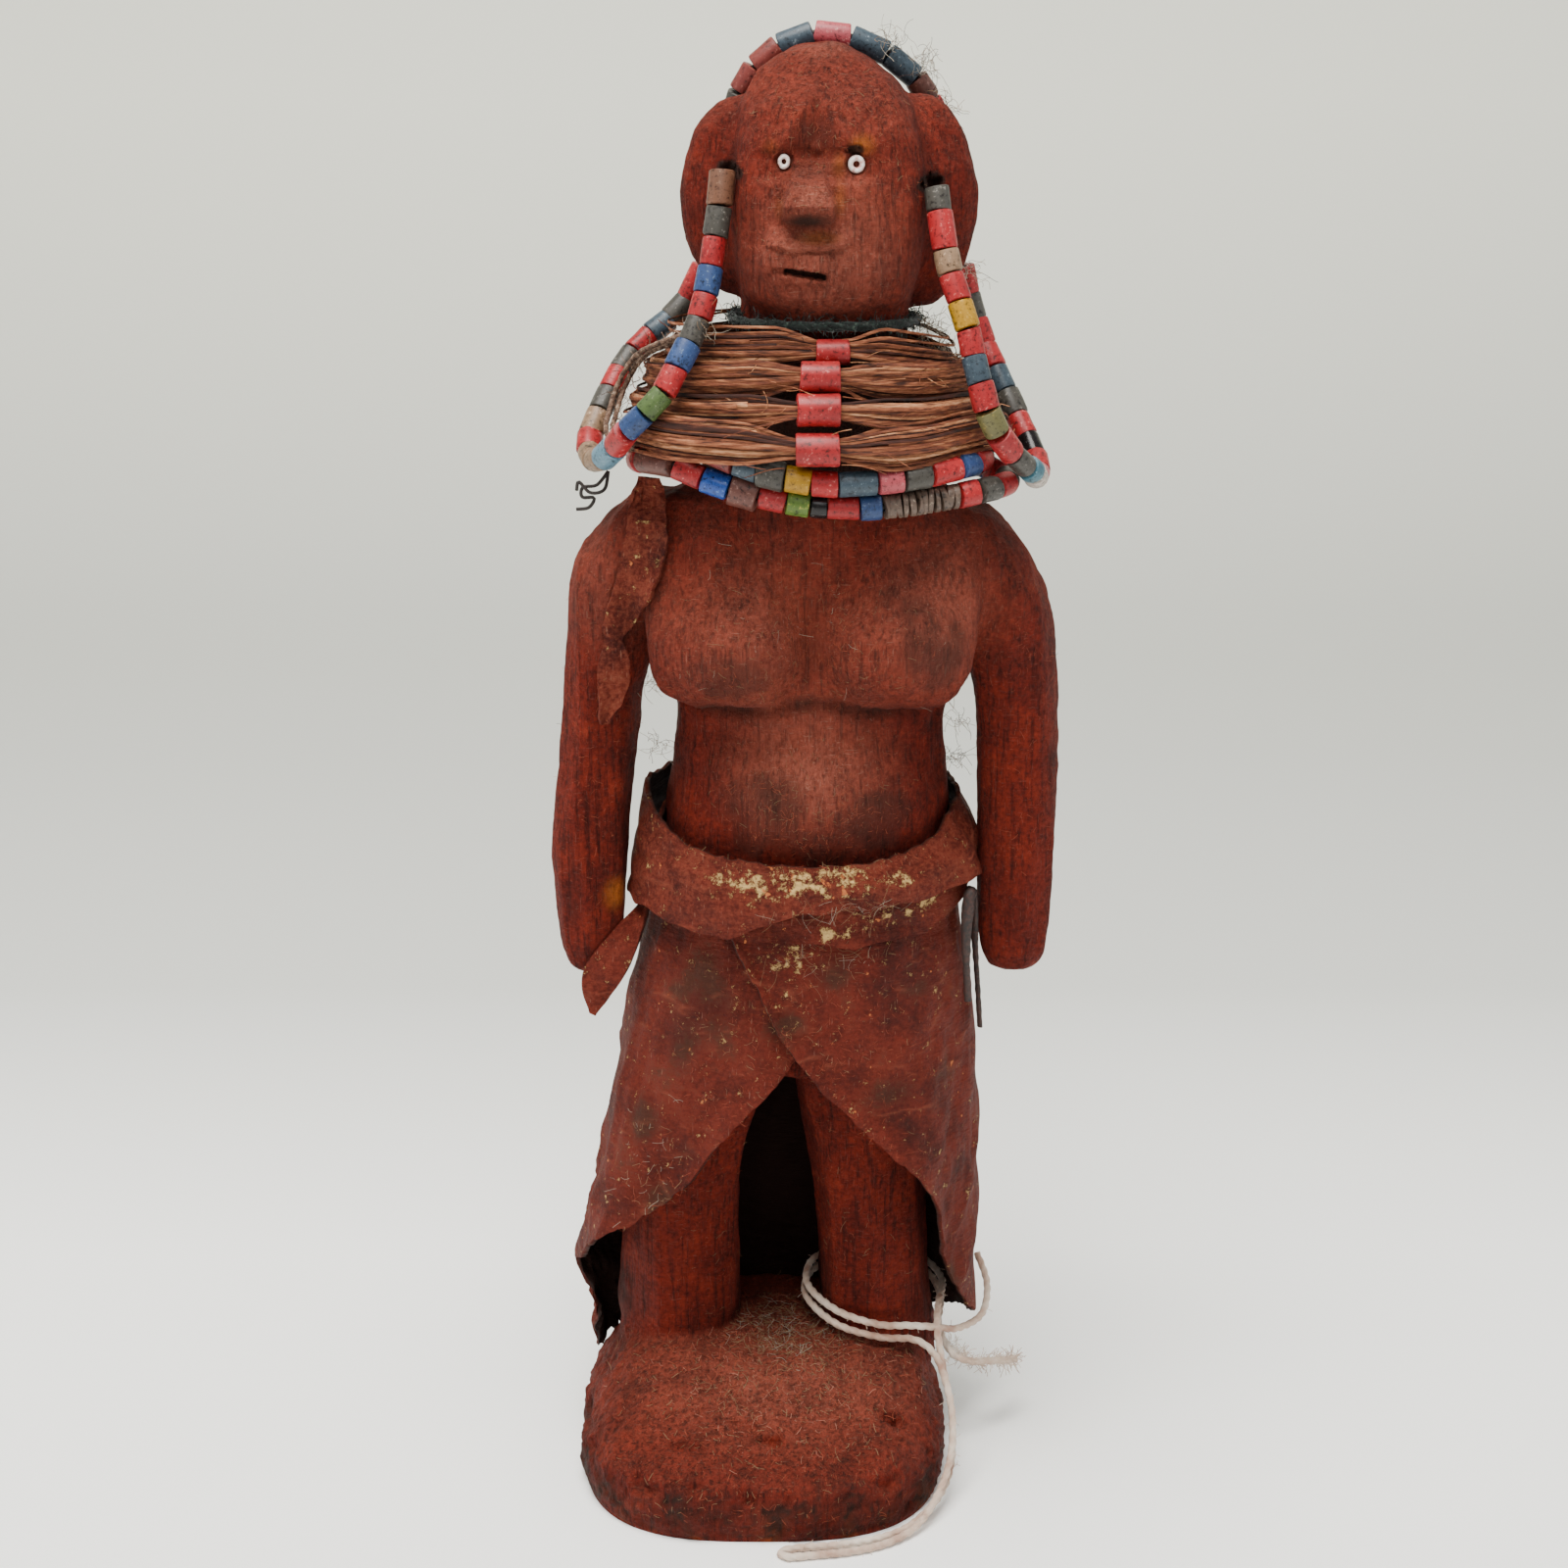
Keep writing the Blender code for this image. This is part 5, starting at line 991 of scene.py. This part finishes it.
def hide_sheet(name, node, grid, closed=False, thick=HIDE, dust=0.3, shade_inner_side=True):
    """A sheet of hide from a grid of middle points, with both faces and a rim, and where it is mouldy or stained."""
    grid = np.array(grid)
    columns, rows = grid.shape[:2]
    along = np.roll(grid, -1, 0) - np.roll(grid, 1, 0) if closed else np.gradient(grid, axis=0)
    normals = np.cross(along, np.gradient(grid, axis=1))
    normals /= np.linalg.norm(normals, axis=2)[:, :, None]
    under = columns * rows
    faces = []
    for column in range(columns if closed else columns - 1):
        this, following = column * rows, (column + 1) % columns * rows
        for row in range(rows - 1):
            quad = (this + row, following + row, following + row + 1, this + row + 1)
            faces += [quad, tuple(under + corner for corner in reversed(quad))]
        faces.append((following, this, under + this, under + following))
        faces.append((this + rows - 1, following + rows - 1, under + following + rows - 1, under + this + rows - 1))
    if not closed:
        for column, flip in ((0, False), (columns - 1, True)):
            for row in range(rows - 1):
                a, b = column * rows + row, column * rows + row + 1
                faces.append((b, a, under + a, under + b) if flip else (a, b, under + b, under + a))
    half = thick / 2
    points = np.concatenate([(grid + normals * half).reshape(-1, 3), (grid - normals * half).reshape(-1, 3)])
    made = piece(name, [(points, faces, 0)], [hide], sharp=60)
    in_front = step_up(-points[:, 1], -4, 6)
    flat_points = points[:, (0, 2)]
    layers = {label: sum(near(flat_points, spot[:2], spot[2:]) for spot in spots) * in_front
              for label, spots in (("mould", MOULD), ("stain", STAINS))}
    outward = points - (6, 9, 0)
    facing = np.concatenate([normals.reshape(-1, 3), -normals.reshape(-1, 3)])
    # The side turned to the doll is marked for painted shade
    inner = (outward[:, 0] * facing[:, 0] + outward[:, 1] * facing[:, 1] < 0).astype(float)
    layers["inner"] = inner * shade_inner_side
    layers["dust"] = np.full(len(points), dust) + 0.3 * step_up(points[:, 2], 118, 132)
    mark(made.data, layers)
    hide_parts(node)
    return made


hide, add = matter("tanned goat hide rubbed with red ochre")
# Dry, matt and stiff, with a fine skin grain of half a millimetre. Its inner side, turned to the doll, is painted
# near-black as shade, and its outside has brushed dark stains, a pale dusting, clusters of cream mould and a few
# orange flakes.
spot = add("TexCoord", {}, "Object")
cloudy = add("TexNoise", {"Vector": spot, "Scale": per(14), "Detail": 8.0, "Roughness": 0.68})
skin = add("TexNoise", {"Vector": spot, "Scale": per(0.9), "Detail": 6.0, "Roughness": 0.74})
wrinkle_place = add("Mapping", {"Vector": spot, "Scale": per(9, 9, 2.6), "Rotation": (0, 0.5, 0)})
wrinkle = add("TexNoise", {"Vector": wrinkle_place, "Scale": 1.0, "Detail": 6.0, "Roughness": 0.66})
scratch_place = add("Mapping", {"Vector": spot, "Scale": per(0.35, 0.6, 3.0), "Rotation": (0.2, 0.7, 0.2)})
scratch = add("TexNoise", {"Vector": scratch_place, "Scale": 1.0, "Detail": 3.0})
folded_place = add("Mapping", {"Vector": spot, "Scale": per(15, 15, 8), "Rotation": (0, 0.7, 0)})
folded = add("TexNoise", {"Vector": folded_place, "Scale": 1.0, "Detail": 2.0, "Roughness": 0.4})
folded_away = add("Math", {0: folded, 1: 0.5}, operation="SUBTRACT")
folded_gap = add("Math", {0: folded_away}, operation="ABSOLUTE")
ridge = add("MapRange", {"Value": folded_gap, "From Max": 0.04, "To Min": 1.0, "To Max": 0.0})
tint = add("ValToRGB", {"Fac": cloudy}, stops=(
    (0.32, "#330e08"), (0.45, "#50150b"), (0.57, "#621c10"), (0.7, "#782e20")))
pores = add("MapRange", {"Value": skin, "From Min": 0.3, "From Max": 0.7, "To Min": 0.62, "To Max": 1.28})
toned = add("Mix", {0: 1.0, 6: tint, 7: pores}, 2, data_type="RGBA", blend_type="MULTIPLY")
stain = add("Attribute", {}, "Fac", attribute_name="stain")
blotch = add("Math", {0: cloudy, 1: 2.6, 2: skin}, operation="MULTIPLY_ADD")
stain_edge = add("Math", {0: stain, 1: 0.5, 2: blotch}, operation="MULTIPLY_ADD")
stain_share = add("MapRange", {"Value": stain_edge, "From Min": 2.0, "From Max": 2.36, "To Max": 0.85})
stained = add("Mix", {0: stain_share, 6: toned, 7: "#2f1b11"}, 2, data_type="RGBA")
dusty = add("Attribute", {}, "Fac", attribute_name="dust")
veil_patch = add("Math", {0: cloudy, 1: 0.6, 2: skin}, operation="MULTIPLY_ADD")
veil_range = add("MapRange", {"Value": veil_patch, "From Min": 0.7, "From Max": 1.1, "To Max": 0.8})
veil = add("Math", {0: veil_range, 1: dusty}, operation="MULTIPLY")
veiled = add("Mix", {0: veil, 6: stained, 7: "#96513a"}, 2, data_type="RGBA")
scratch_range = add("MapRange", {"Value": scratch, "From Min": 0.66, "From Max": 0.76, "To Max": 0.3})
broken = add("MapRange", {"Value": wrinkle, "From Min": 0.5, "From Max": 0.66, "To Max": 0.4})
ridge_share = add("Math", {0: ridge, 1: broken}, operation="MULTIPLY")
ridged = add("Mix", {0: ridge_share, 6: veiled, 7: "#8f4a35"}, 2, data_type="RGBA")
scratched = add("Mix", {0: scratch_range, 6: ridged, 7: "#b98e76"}, 2, data_type="RGBA")
mould = add("Attribute", {}, "Fac", attribute_name="mould")
bloom = add("TexNoise", {"Vector": spot, "Scale": per(2.6), "Detail": 8.0, "Roughness": 0.78})
mould_edge = add("Math", {0: mould, 1: 0.13, 2: bloom}, operation="MULTIPLY_ADD")
mould_share = add("MapRange", {"Value": mould_edge, "From Min": 0.61, "From Max": 0.66, "To Max": 0.9})
bloomed = add("Mix", {0: mould_share, 6: scratched, 7: "#d3ae70"}, 2, data_type="RGBA")
flake_place = add("Mapping", {"Vector": spot, "Location": (0.3, 0.2, 0.7), "Scale": per(1.9, 1.9, 2.4)})
flake = add("TexNoise", {"Vector": flake_place, "Scale": 1.0, "Detail": 3.0})
flake_edge = add("Math", {0: mould, 1: 0.06, 2: flake}, operation="MULTIPLY_ADD")
flake_share = add("MapRange", {"Value": flake_edge, "From Min": 0.715, "From Max": 0.745, "To Max": 0.8})
flaked = add("Mix", {0: flake_share, 6: bloomed, 7: "#c87442"}, 2, data_type="RGBA")
# Painted shade: the side turned to the doll is near-black
inner = add("Attribute", {}, "Fac", attribute_name="inner")
inner_side_shaded = add("Mix", {0: inner, 6: flaked, 7: "#24110c"}, 2, data_type="RGBA")
fine_height = add("Math", {0: wrinkle, 1: 2.8, 2: skin}, operation="MULTIPLY_ADD")
folds_height = add("Math", {0: ridge, 1: 0.35, 2: fine_height}, operation="MULTIPLY_ADD")
height = add("Math", {0: mould_share, 1: 0.4, 2: folds_height}, operation="MULTIPLY_ADD")
relief = add("Bump", {"Height": height, "Strength": 0.9, "Distance": 0.8 * MM})
coat = add("BsdfPrincipled", {"Base Color": inner_side_shaded, "Roughness": 0.68, "Normal": relief, "Specular IOR Level": 0.16})
add("OutputMaterial", {"Surface": coat})

SKIRT_COLUMNS, SKIRT_ROWS = 330, 66
grid = []
for wrap in np.linspace(SKIRT_HEM[0][0], SKIRT_HEM[-1][0], SKIRT_COLUMNS):
    top = edge_height(BELT_TOP, wrap % 360) - 6
    torn = step_up(wrap, 96, 102) * step_up(150 - wrap, 0, 8) + 0.3
    hem = edge_height(SKIRT_HEM, wrap) + 0.8 * noise.noise((wrap / 5, 0.3, 0.7))
    hem += 3.4 * torn * noise.noise((wrap / 3.1, 2.3, 0.7)) + 1.2 * torn * noise.noise((wrap / 0.9, 5.3, 0.7))
    lapped = step_up(wrap, 295, 330)
    lip_curl = step_up(wrap, 362, 384)
    strip = []
    for down in np.linspace(0, 1, SKIRT_ROWS) ** 0.93:
        height = top + (hem - top) * down
        loose = min(max((112 - height) / 60, 0), 1)
        fold = 1.1 * math.sin(math.radians(wrap * 7)) * loose
        fold += 1.0 * noise.noise((wrap / 17, height / 30, 4.4)) * (0.3 + loose)
        fold -= 2.2 * abs(noise.noise((wrap / 26 + height / 30, height / 44, 2.2))) * (0.4 + loose)
        fold += 0.5 * noise.noise((wrap / 6, height / 7, 8.1))
        fold += 1.6 * (torn - 0.3) * noise.noise((wrap / 4, height / 5, 2.1)) * loose
        curl = step_up(down, 0.9, 1.0) * (1.2 if wrap < 120 or wrap > 290 else 0.3)
        tucked = (3.6 + 2 * noise.noise((wrap / 3, height / 6, 6.6))) * float(step_up(37 - height, 0, 9))
        tucked *= torn - 0.3
        out = lapped * (HIDE_LAYER + 0.5) + fold + curl * lapped + 0.7 * lip_curl - tucked
        strip.append(clear_of(around(wrap, height, out), HIDE / 2 + AIR_GAP, wood))
    grid.append(strip)
skirt = hide_sheet("skirt_hide", "skirt", grid, dust=0.16)

# The belt is a broad strip of the same hide wound tight round the hips over the skirt, its edges dried and curled.
# A narrower strip goes under its lower edge in front, and a cut end of it sticks out as a tie at the right hip.
BELT_BOTTOM = (
    (0, 126), (14, 122), (24, 119.6), (40, 121), (60, 122.6), (90, 123), (180, 128), (270, 128.6), (300, 128),
    (330, 126.4), (360, 126))
STRIP_TOP_BY_WRAP = ((-90, 135), (40, 129))
STRIP_BOTTOM_BY_WRAP = ((-90, 128), (-70, 123.6), (-45, 119.8), (-20, 118), (20, 119), (40, 121.4))


def band(wraps, top_edge, bottom_edge, layers, seed, rows=18, hugging=0.0):
    """A strip round the hips: cockled, with an uneven edge, its upper edge drawn in towards the waist."""
    strips = []
    for wrap in wraps:
        turn = math.radians(wrap)
        ring = (math.cos(turn) * 6, math.sin(turn) * 6)
        low = edge_height(bottom_edge, wrap) + 0.9 * noise.noise((ring[0], ring[1], seed))
        high = edge_height(top_edge, wrap) + 0.8 * noise.noise((ring[0] * 2, ring[1] * 2, seed + 5))
        strip = []
        for up_share in np.linspace(0, 1, rows):
            height = low + (high - low) * up_share
            place = around(wrap, height)
            out = layers * HIDE_LAYER + 0.9 * noise.noise(tuple(place / (7, 7, 4) + seed))
            out += 1.8 * near(np.array([[wrap, up_share]]), (292, 0.1), (16, 0.5))[0] * hugging
            place = around(wrap, height, out)
            pull = hugging * np.interp(wrap, HUG_WRAPS, HUGS) * float(step_up(up_share, 0.35, 1.0))
            if pull > 0:
                middle = np.array((9.0, 9.0, height))
                way = (place - middle) / np.linalg.norm(place - middle)
                met, _, _, _ = wood.ray_cast(Vector(middle), Vector(way))
                off_wood = 1.6 + 0.5 * noise.noise((ring[0], ring[1], 1.1))
                place = place + (np.array(met) + way * off_wood - place) * pull
            strip.append(place)
        strips.append(strip)
    return strips


HUG_WRAPS, HUGS = (0, 60, 90, 180, 250, 285, 320, 360), (0.6, 0.4, 0.4, 0.6, 0.95, 0.95, 0.7, 0.6)
grid = band(np.linspace(-90, 40, 110), STRIP_TOP_BY_WRAP, STRIP_BOTTOM_BY_WRAP, 2.1, 3.3)
hide_sheet("belt_inner_hide", "belt_inner_strip", grid, dust=0.3)
grid = band(np.arange(0, 360, 1.25), BELT_TOP, BELT_BOTTOM, 3.3, 7.7, 24, 1.0)
outer = hide_sheet("belt_outer_hide", "belt_outer_strip", grid,
                   closed=True, dust=0.35)

# A torn strip of thin hide hangs over the doll's right shoulder from under the necklaces, lies on the arm and
# curls at its end. Each row is its height and where its outer and inner edges are, in millimetres.
SHOULDER_STRAP = (
    (207.5, -22.8, -18.8), (203, -24.4, -17.8), (195.7, -25.4, -17.4), (188, -27.4, -19.8), (181, -29.6, -23.4),
    (177, -29.6, -26.2), (172, -31, -25), (166, -31, -26), (160, -30.9, -29.3))
strap_rows = even_line(SHOULDER_STRAP, 0.6)
picks = np.linspace(0, len(strap_rows) - 1, 90)
strap_rows = np.stack([np.interp(picks, np.arange(len(strap_rows)), strap_rows[:, axis])
                       for axis in range(3)], axis=1)
grid = []
for height, outer_x, inner_x in strap_rows:
    cells = []
    for part in np.linspace(0, 1, 18):
        ragged = 0.4 * noise.noise((height / 2.2, 1.0 if part < 0.5 else 5.0, 0.0)) * abs(part - 0.5) * 2
        place_x = outer_x + (inner_x - outer_x) * part + ragged
        met, _, _, _ = wood.ray_cast(Vector((place_x, -90, height)), Vector((0, 1, 0)))
        if met is None:
            met, _, _, _ = wood.find_nearest(Vector((place_x, 0, height)))
        lift = 2.0 + 0.9 * noise.noise((place_x / 4, height / 5, 3.0))
        lift += 1.2 * abs(part - 0.5) * step_up(178 - height, 0, 8)
        cells.append(np.array((place_x, met.y - max(lift, 1.1), height)))
    grid.append(cells)
grid = np.array(grid)
for _ in range(10):
    grid[1:-1, :, 1] = 0.5 * grid[1:-1, :, 1] + 0.25 * (grid[:-2, :, 1] + grid[2:, :, 1])
hide_sheet("shoulder_strap_hide", "shoulder_strap", grid,
           thick=0.8, dust=0.55, shade_inner_side=False)

# The tie is a stiff, pointed end of the belt's inner strip that stands off the right hip, of the same dry hide.
# Each row is a point on its left edge and one on its right edge, in millimetres.
HIP_TIE = (
    ((-22.6, 5.6, 125), (-21.8, 1.4, 125)), ((-24.0, 4.4, 120.6), (-23, -0.4, 119)),
    ((-29, 0, 116.6), (-25, -3, 113)), ((-35.5, -2.6, 108.5), (-27.9, -3.8, 107)),
    ((-34.4, -3, 100), (-33.2, -3.2, 99.4)))
left_edge = even_line([pair[0] for pair in HIP_TIE], 0.5)
right_edge = even_line([pair[1] for pair in HIP_TIE], 0.5)
picks = np.linspace(0, 1, 50)
sides_of_tie = [np.stack([np.interp(picks, np.linspace(0, 1, len(edge)), edge[:, axis]) for axis in range(3)], axis=1)
                for edge in (left_edge, right_edge)]
grid = [[a + (b - a) * part + np.array((0, 1, 0)) * (0.8 * noise.noise(tuple((a + (b - a) * part) / 4)))
         for part in np.linspace(0, 1, 12)] for a, b in zip(*sides_of_tie)]
hide_sheet("hip_tie_hide", "hip_tie", grid, thick=0.9)

# A thong cut from the same hide is folded over the belt at the left hip, so that both ends hang down beside the
# skirt, and it has dried hard and dark.
HIP_THONG = (
    (43.9, 1.2, 95), (43.2, 0.6, 104), (42.4, -0.4, 113), (41.9, -1.2, 121), (41.5, -1.8, 125.4),
    (40.7, -3.6, 124.4), (40.3, -4, 117), (40.6, -3.6, 109), (41, -3.4, 102.5))
thong_line = even_line(HIP_THONG, 0.6)
thong_size = [0.72 + 0.5 * step_up(point[2], 108, 123) + 0.2 * noise.noise((at * 0.4, 3.0, 1.0))
              for at, point in enumerate(thong_line)]
dark_hide, add = matter("hide thong, black with fat")
# Nearly black and a little greasy, with a grain of half a millimetre
spot = add("TexCoord", {}, "Object")
skin = add("TexNoise", {"Vector": spot, "Scale": per(0.8), "Detail": 5.0, "Roughness": 0.7})
tint = add("ValToRGB", {"Fac": skin}, stops=((0.4, "#150b08"), (0.7, "#432219")))
relief = add("Bump", {"Height": skin, "Strength": 0.8, "Distance": 0.3 * MM})
coat = add("BsdfPrincipled", {"Base Color": tint, "Roughness": 0.6, "Normal": relief})
add("OutputMaterial", {"Surface": coat})
thong = piece("hip_thong_hide", [tube(thong_line, thong_size, 8, flat=0.6)], [dark_hide])
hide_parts("hip_thong")

# A greyish yarn binds the hoops at the doll's right, a wad of ochre-soaked fibre is pressed in behind them at its
# left, and the sinew of the right ear loop ends in two stiff curled ends at its knot. Points in millimetres.
BINDING = (
    (-12.6, -6, 234.4), (-17, -2, 232.4), (-21.8, 3, 229.2), (-25.4, 4, 223), (-25.6, 1, 217.6),
    (-22.6, -5, 213.6))
KNOT_ENDS = (
    ((-28.5, -0.5, 208.6), (-30.6, -1.5, 206.2), (-33.2, -1.8, 205.8), (-33.4, -1.6, 203.9), (-31.2, -1.4, 203.7),
     (-32.2, -1.5, 201.9), (-34.6, -1.7, 201.6)),
    ((-28.5, -0.5, 208.6), (-29.2, -1.8, 205.4), (-31.8, -2.4, 204.9), (-33.9, -2.2, 206.9), (-34.4, -1.8, 205.2)))
WAD_MIDDLE, WAD_HALVES, WAD_HAIRS = np.array((36.0, 13.5, 225.0)), np.array((5.6, 3.4, 3.0)), 260
old_yarn, add = matter("old grey-brown fibre yarn")
# Loosely twisted plant fibre, greyed by dust
spot = add("TexCoord", {}, "Object")
fuzz = add("TexNoise", {"Vector": spot, "Scale": per(0.9), "Detail": 5.0, "Roughness": 0.75})
tint = add("ValToRGB", {"Fac": fuzz}, stops=((0.36, "#2b1b14"), (0.52, "#6b5040"), (0.7, "#a8937e")))
relief = add("Bump", {"Height": fuzz, "Strength": 0.8, "Distance": 0.3 * MM})
coat = add("BsdfPrincipled", {"Base Color": tint, "Roughness": 0.95, "Normal": relief})
add("OutputMaterial", {"Surface": coat})
binding_line = settled(even_line(BINDING, 0.8), 0.6, placed)
shapes = [tube(binding_line + shift, 0.55, 12, lobes=3, twist=2.4) for shift in ((0, 0, 0), (-1.3, -0.5, 0.4))]
shapes += hairs_on(binding_line, chance.integers(0, len(binding_line), 130), 0.5, (1.5, 5), 0.06, 0.45)
binding = piece("collar_binding_yarn", shapes, [old_yarn])
knot = piece("ear_loop_right_knot", [tube(even_line(end, 0.4), 0.34, 7) for end in KNOT_ENDS], [thread])
wad_points, wad_faces = loft([(math.sin(rise), 0, 0, max(math.cos(rise), 0.05), max(math.cos(rise), 0.05))
                              for rise in np.linspace(-math.pi / 2, math.pi / 2, 21)], 2.0, 36)
lumps = 1 + 0.22 * waves(wad_points, 0.6, 0.6, 3.0) + 0.1 * waves(wad_points, 0.25, 0.25, 6.0)
shapes = [(WAD_MIDDLE + wad_points * WAD_HALVES * lumps[:, None], wad_faces, 1)]
for _ in range(WAD_HAIRS):
    way = chance.normal(0, 1, 3)
    way /= np.linalg.norm(way)
    start, way = WAD_MIDDLE + way * WAD_HALVES * 0.95, way + chance.normal(0, 1.2, 3)
    shapes.append(hair(start, way, chance.uniform(1.5, 5), 0.1, 0.5, kind=int(chance.integers(0, 4))))
wad = piece("collar_fibre_wad", shapes, fibre_matters)

# Years of handling have left lint on it: tan fibres on the base and the chest, cobweb over the belt and small tufts
# of grey fluff caught at the neck, the crown and the waist.
LINT_CURL, FLUFF_CURL = 0.3, 0.6
lint_matters = []
for name, code in (("tan lint", "#80644a"), ("grey fluff", "#958a7b"), ("raised wood fibre", "#8f4632"),
                   ("dark lint", "#33201a"), ("pink wood dust", "#a06a58")):
    made, add = matter(name)
    # Fine dry fibre: a flat colour with a little light through it
    coat = add("BsdfPrincipled", {"Base Color": code, "Roughness": 0.9, "Specular IOR Level": 0.2})
    add("OutputMaterial", {"Surface": coat})
    lint_matters.append(made)


def spread(made, count, middle, halves, facing=(0, 0, 0)):
    """Places and outward ways on an object, denser near a middle, and only where it faces that way."""
    mesh = made.data
    middles, outs = np.zeros(len(mesh.polygons) * 3), np.zeros(len(mesh.polygons) * 3)
    areas = np.zeros(len(mesh.polygons))
    mesh.polygons.foreach_get("center", middles)
    mesh.polygons.foreach_get("normal", outs)
    mesh.polygons.foreach_get("area", areas)
    middles, outs = middles.reshape(-1, 3) / MM, outs.reshape(-1, 3)
    weights = areas * near(middles, middle, halves) * step_up(outs @ np.array(facing, float), 0.0, 0.5) + 1e-15
    picks = chance.choice(len(areas), count, p=weights / weights.sum())
    return zip(middles[picks], outs[picks])


def lint(name, made, rows):
    """Short loose fibres on an object: each row is its count, middle, halves, facing, lengths, radius, kinds."""
    shapes = []
    for count, middle, halves, facing, lengths, radius, kinds in rows:
        for place, out in spread(made, count, middle, halves, facing):
            way = chance.normal(0, 1, 3)
            way = way - out * way.dot(out) * 0.85
            shapes.append(hair(place + out * radius, way, chance.uniform(*lengths), radius * chance.uniform(0.6, 1.3),
                               LINT_CURL, steps=4, kind=int(chance.choice(kinds))))
    lying = piece(name, shapes, lint_matters)


lint("base_lint", figure, (
    (2000, (4, -10, 22), (42, 38, 14), (0, 0, 1), (0.7, 2.4), 0.045, (0, 0, 2, 2, 2, 4)),
    (800, (6, 2, 24), (18, 18, 10), (0, 0, 1), (0.9, 3.4), 0.042, (0, 0, 0, 1)),
    (260, (0, -30, 8), (40, 20, 12), (0, -1, 0), (0.6, 2.0), 0.036, (2, 2, 0))))
lint("body_lint", figure, (
    (1300, (8, -12, 182), (38, 26, 26), (0, -1, 0.4), (0.5, 1.6), 0.03, (2, 2, 2, 2, 2, 0)),
    (60, (8, -12, 180), (38, 26, 30), (0, -1, 0.4), (1.0, 3.4), 0.03, (0, 1)),
    (700, (9, -12, 148), (28, 24, 18), (0, -1, 0.2), (0.5, 1.8), 0.03, (2, 2, 2, 2, 0)),
    (800, (12, -8, 268), (24, 22, 28), (0, -1, 0.6), (0.5, 1.6), 0.028, (2, 2, 2, 2, 2, 0)),
    (300, (-32, 2, 160), (12, 14, 56), (0, -1, 0), (0.6, 1.8), 0.032, (2, 2, 3)),
    (300, (50, 2, 160), (12, 14, 56), (0, -1, 0), (0.6, 1.8), 0.032, (2, 2, 3)),
    (260, (4, -2, 50), (34, 16, 40), (0, -1, 0), (0.6, 2.0), 0.032, (2, 2, 0))))
lint("skirt_lint", skirt, (
    (700, (6, -18, 90), (40, 24, 46), (0, -1, 0), (0.6, 2.0), 0.03, (2, 2, 2, 0)),
    (130, (12, -20, 117), (20, 20, 7), (0, -1, 0), (2, 6), 0.027, (0, 0, 1)),
    (110, (-24, -16, 60), (14, 20, 34), (0, -1, 0), (0.8, 3), 0.036, (0, 1, 2))))
lint("belt_lint", outer, (
    (70, (20, -18, 123), (22, 20, 6), (0, -1, 0), (2.0, 6), 0.026, (0, 0, 1)),
    (120, (8, -10, 138), (40, 20, 10), (0, -0.6, 0.8), (0.5, 1.2), 0.05, (0, 2, 2))))
FLUFF = (
    ((31, 5, 234.6), 2.6, 70), ((34, 5, 231.4), 2.0, 50), ((24.5, 17, 285.4), 2.0, 34),
    ((30.4, 17.5, 281), 2.6, 50), ((34.4, 19, 273.6), 2.0, 34), ((38.9, 9, 244.2), 1.4, 30),
    ((38.2, 9, 150), 2.2, 34), ((38.4, 7, 158), 1.6, 22), ((-20.4, 8, 152), 1.8, 24),
    ((-21.6, 6, 166), 1.6, 20), ((38.4, 6, 171), 1.8, 24), ((-10, -9.6, 236.4), 1.4, 26))
shapes = []
for middle, size, count in FLUFF:
    for _ in range(count):
        way = chance.normal(0, 1, 3)
        start = np.array(middle) + chance.normal(0, size * 0.45, 3)
        shapes.append(hair(start, way, chance.uniform(2, 6), 0.045, FLUFF_CURL, steps=8,
                           kind=int(chance.choice((1, 1, 0, 3)))))
fluff = piece("caught_fluff", shapes, lint_matters)
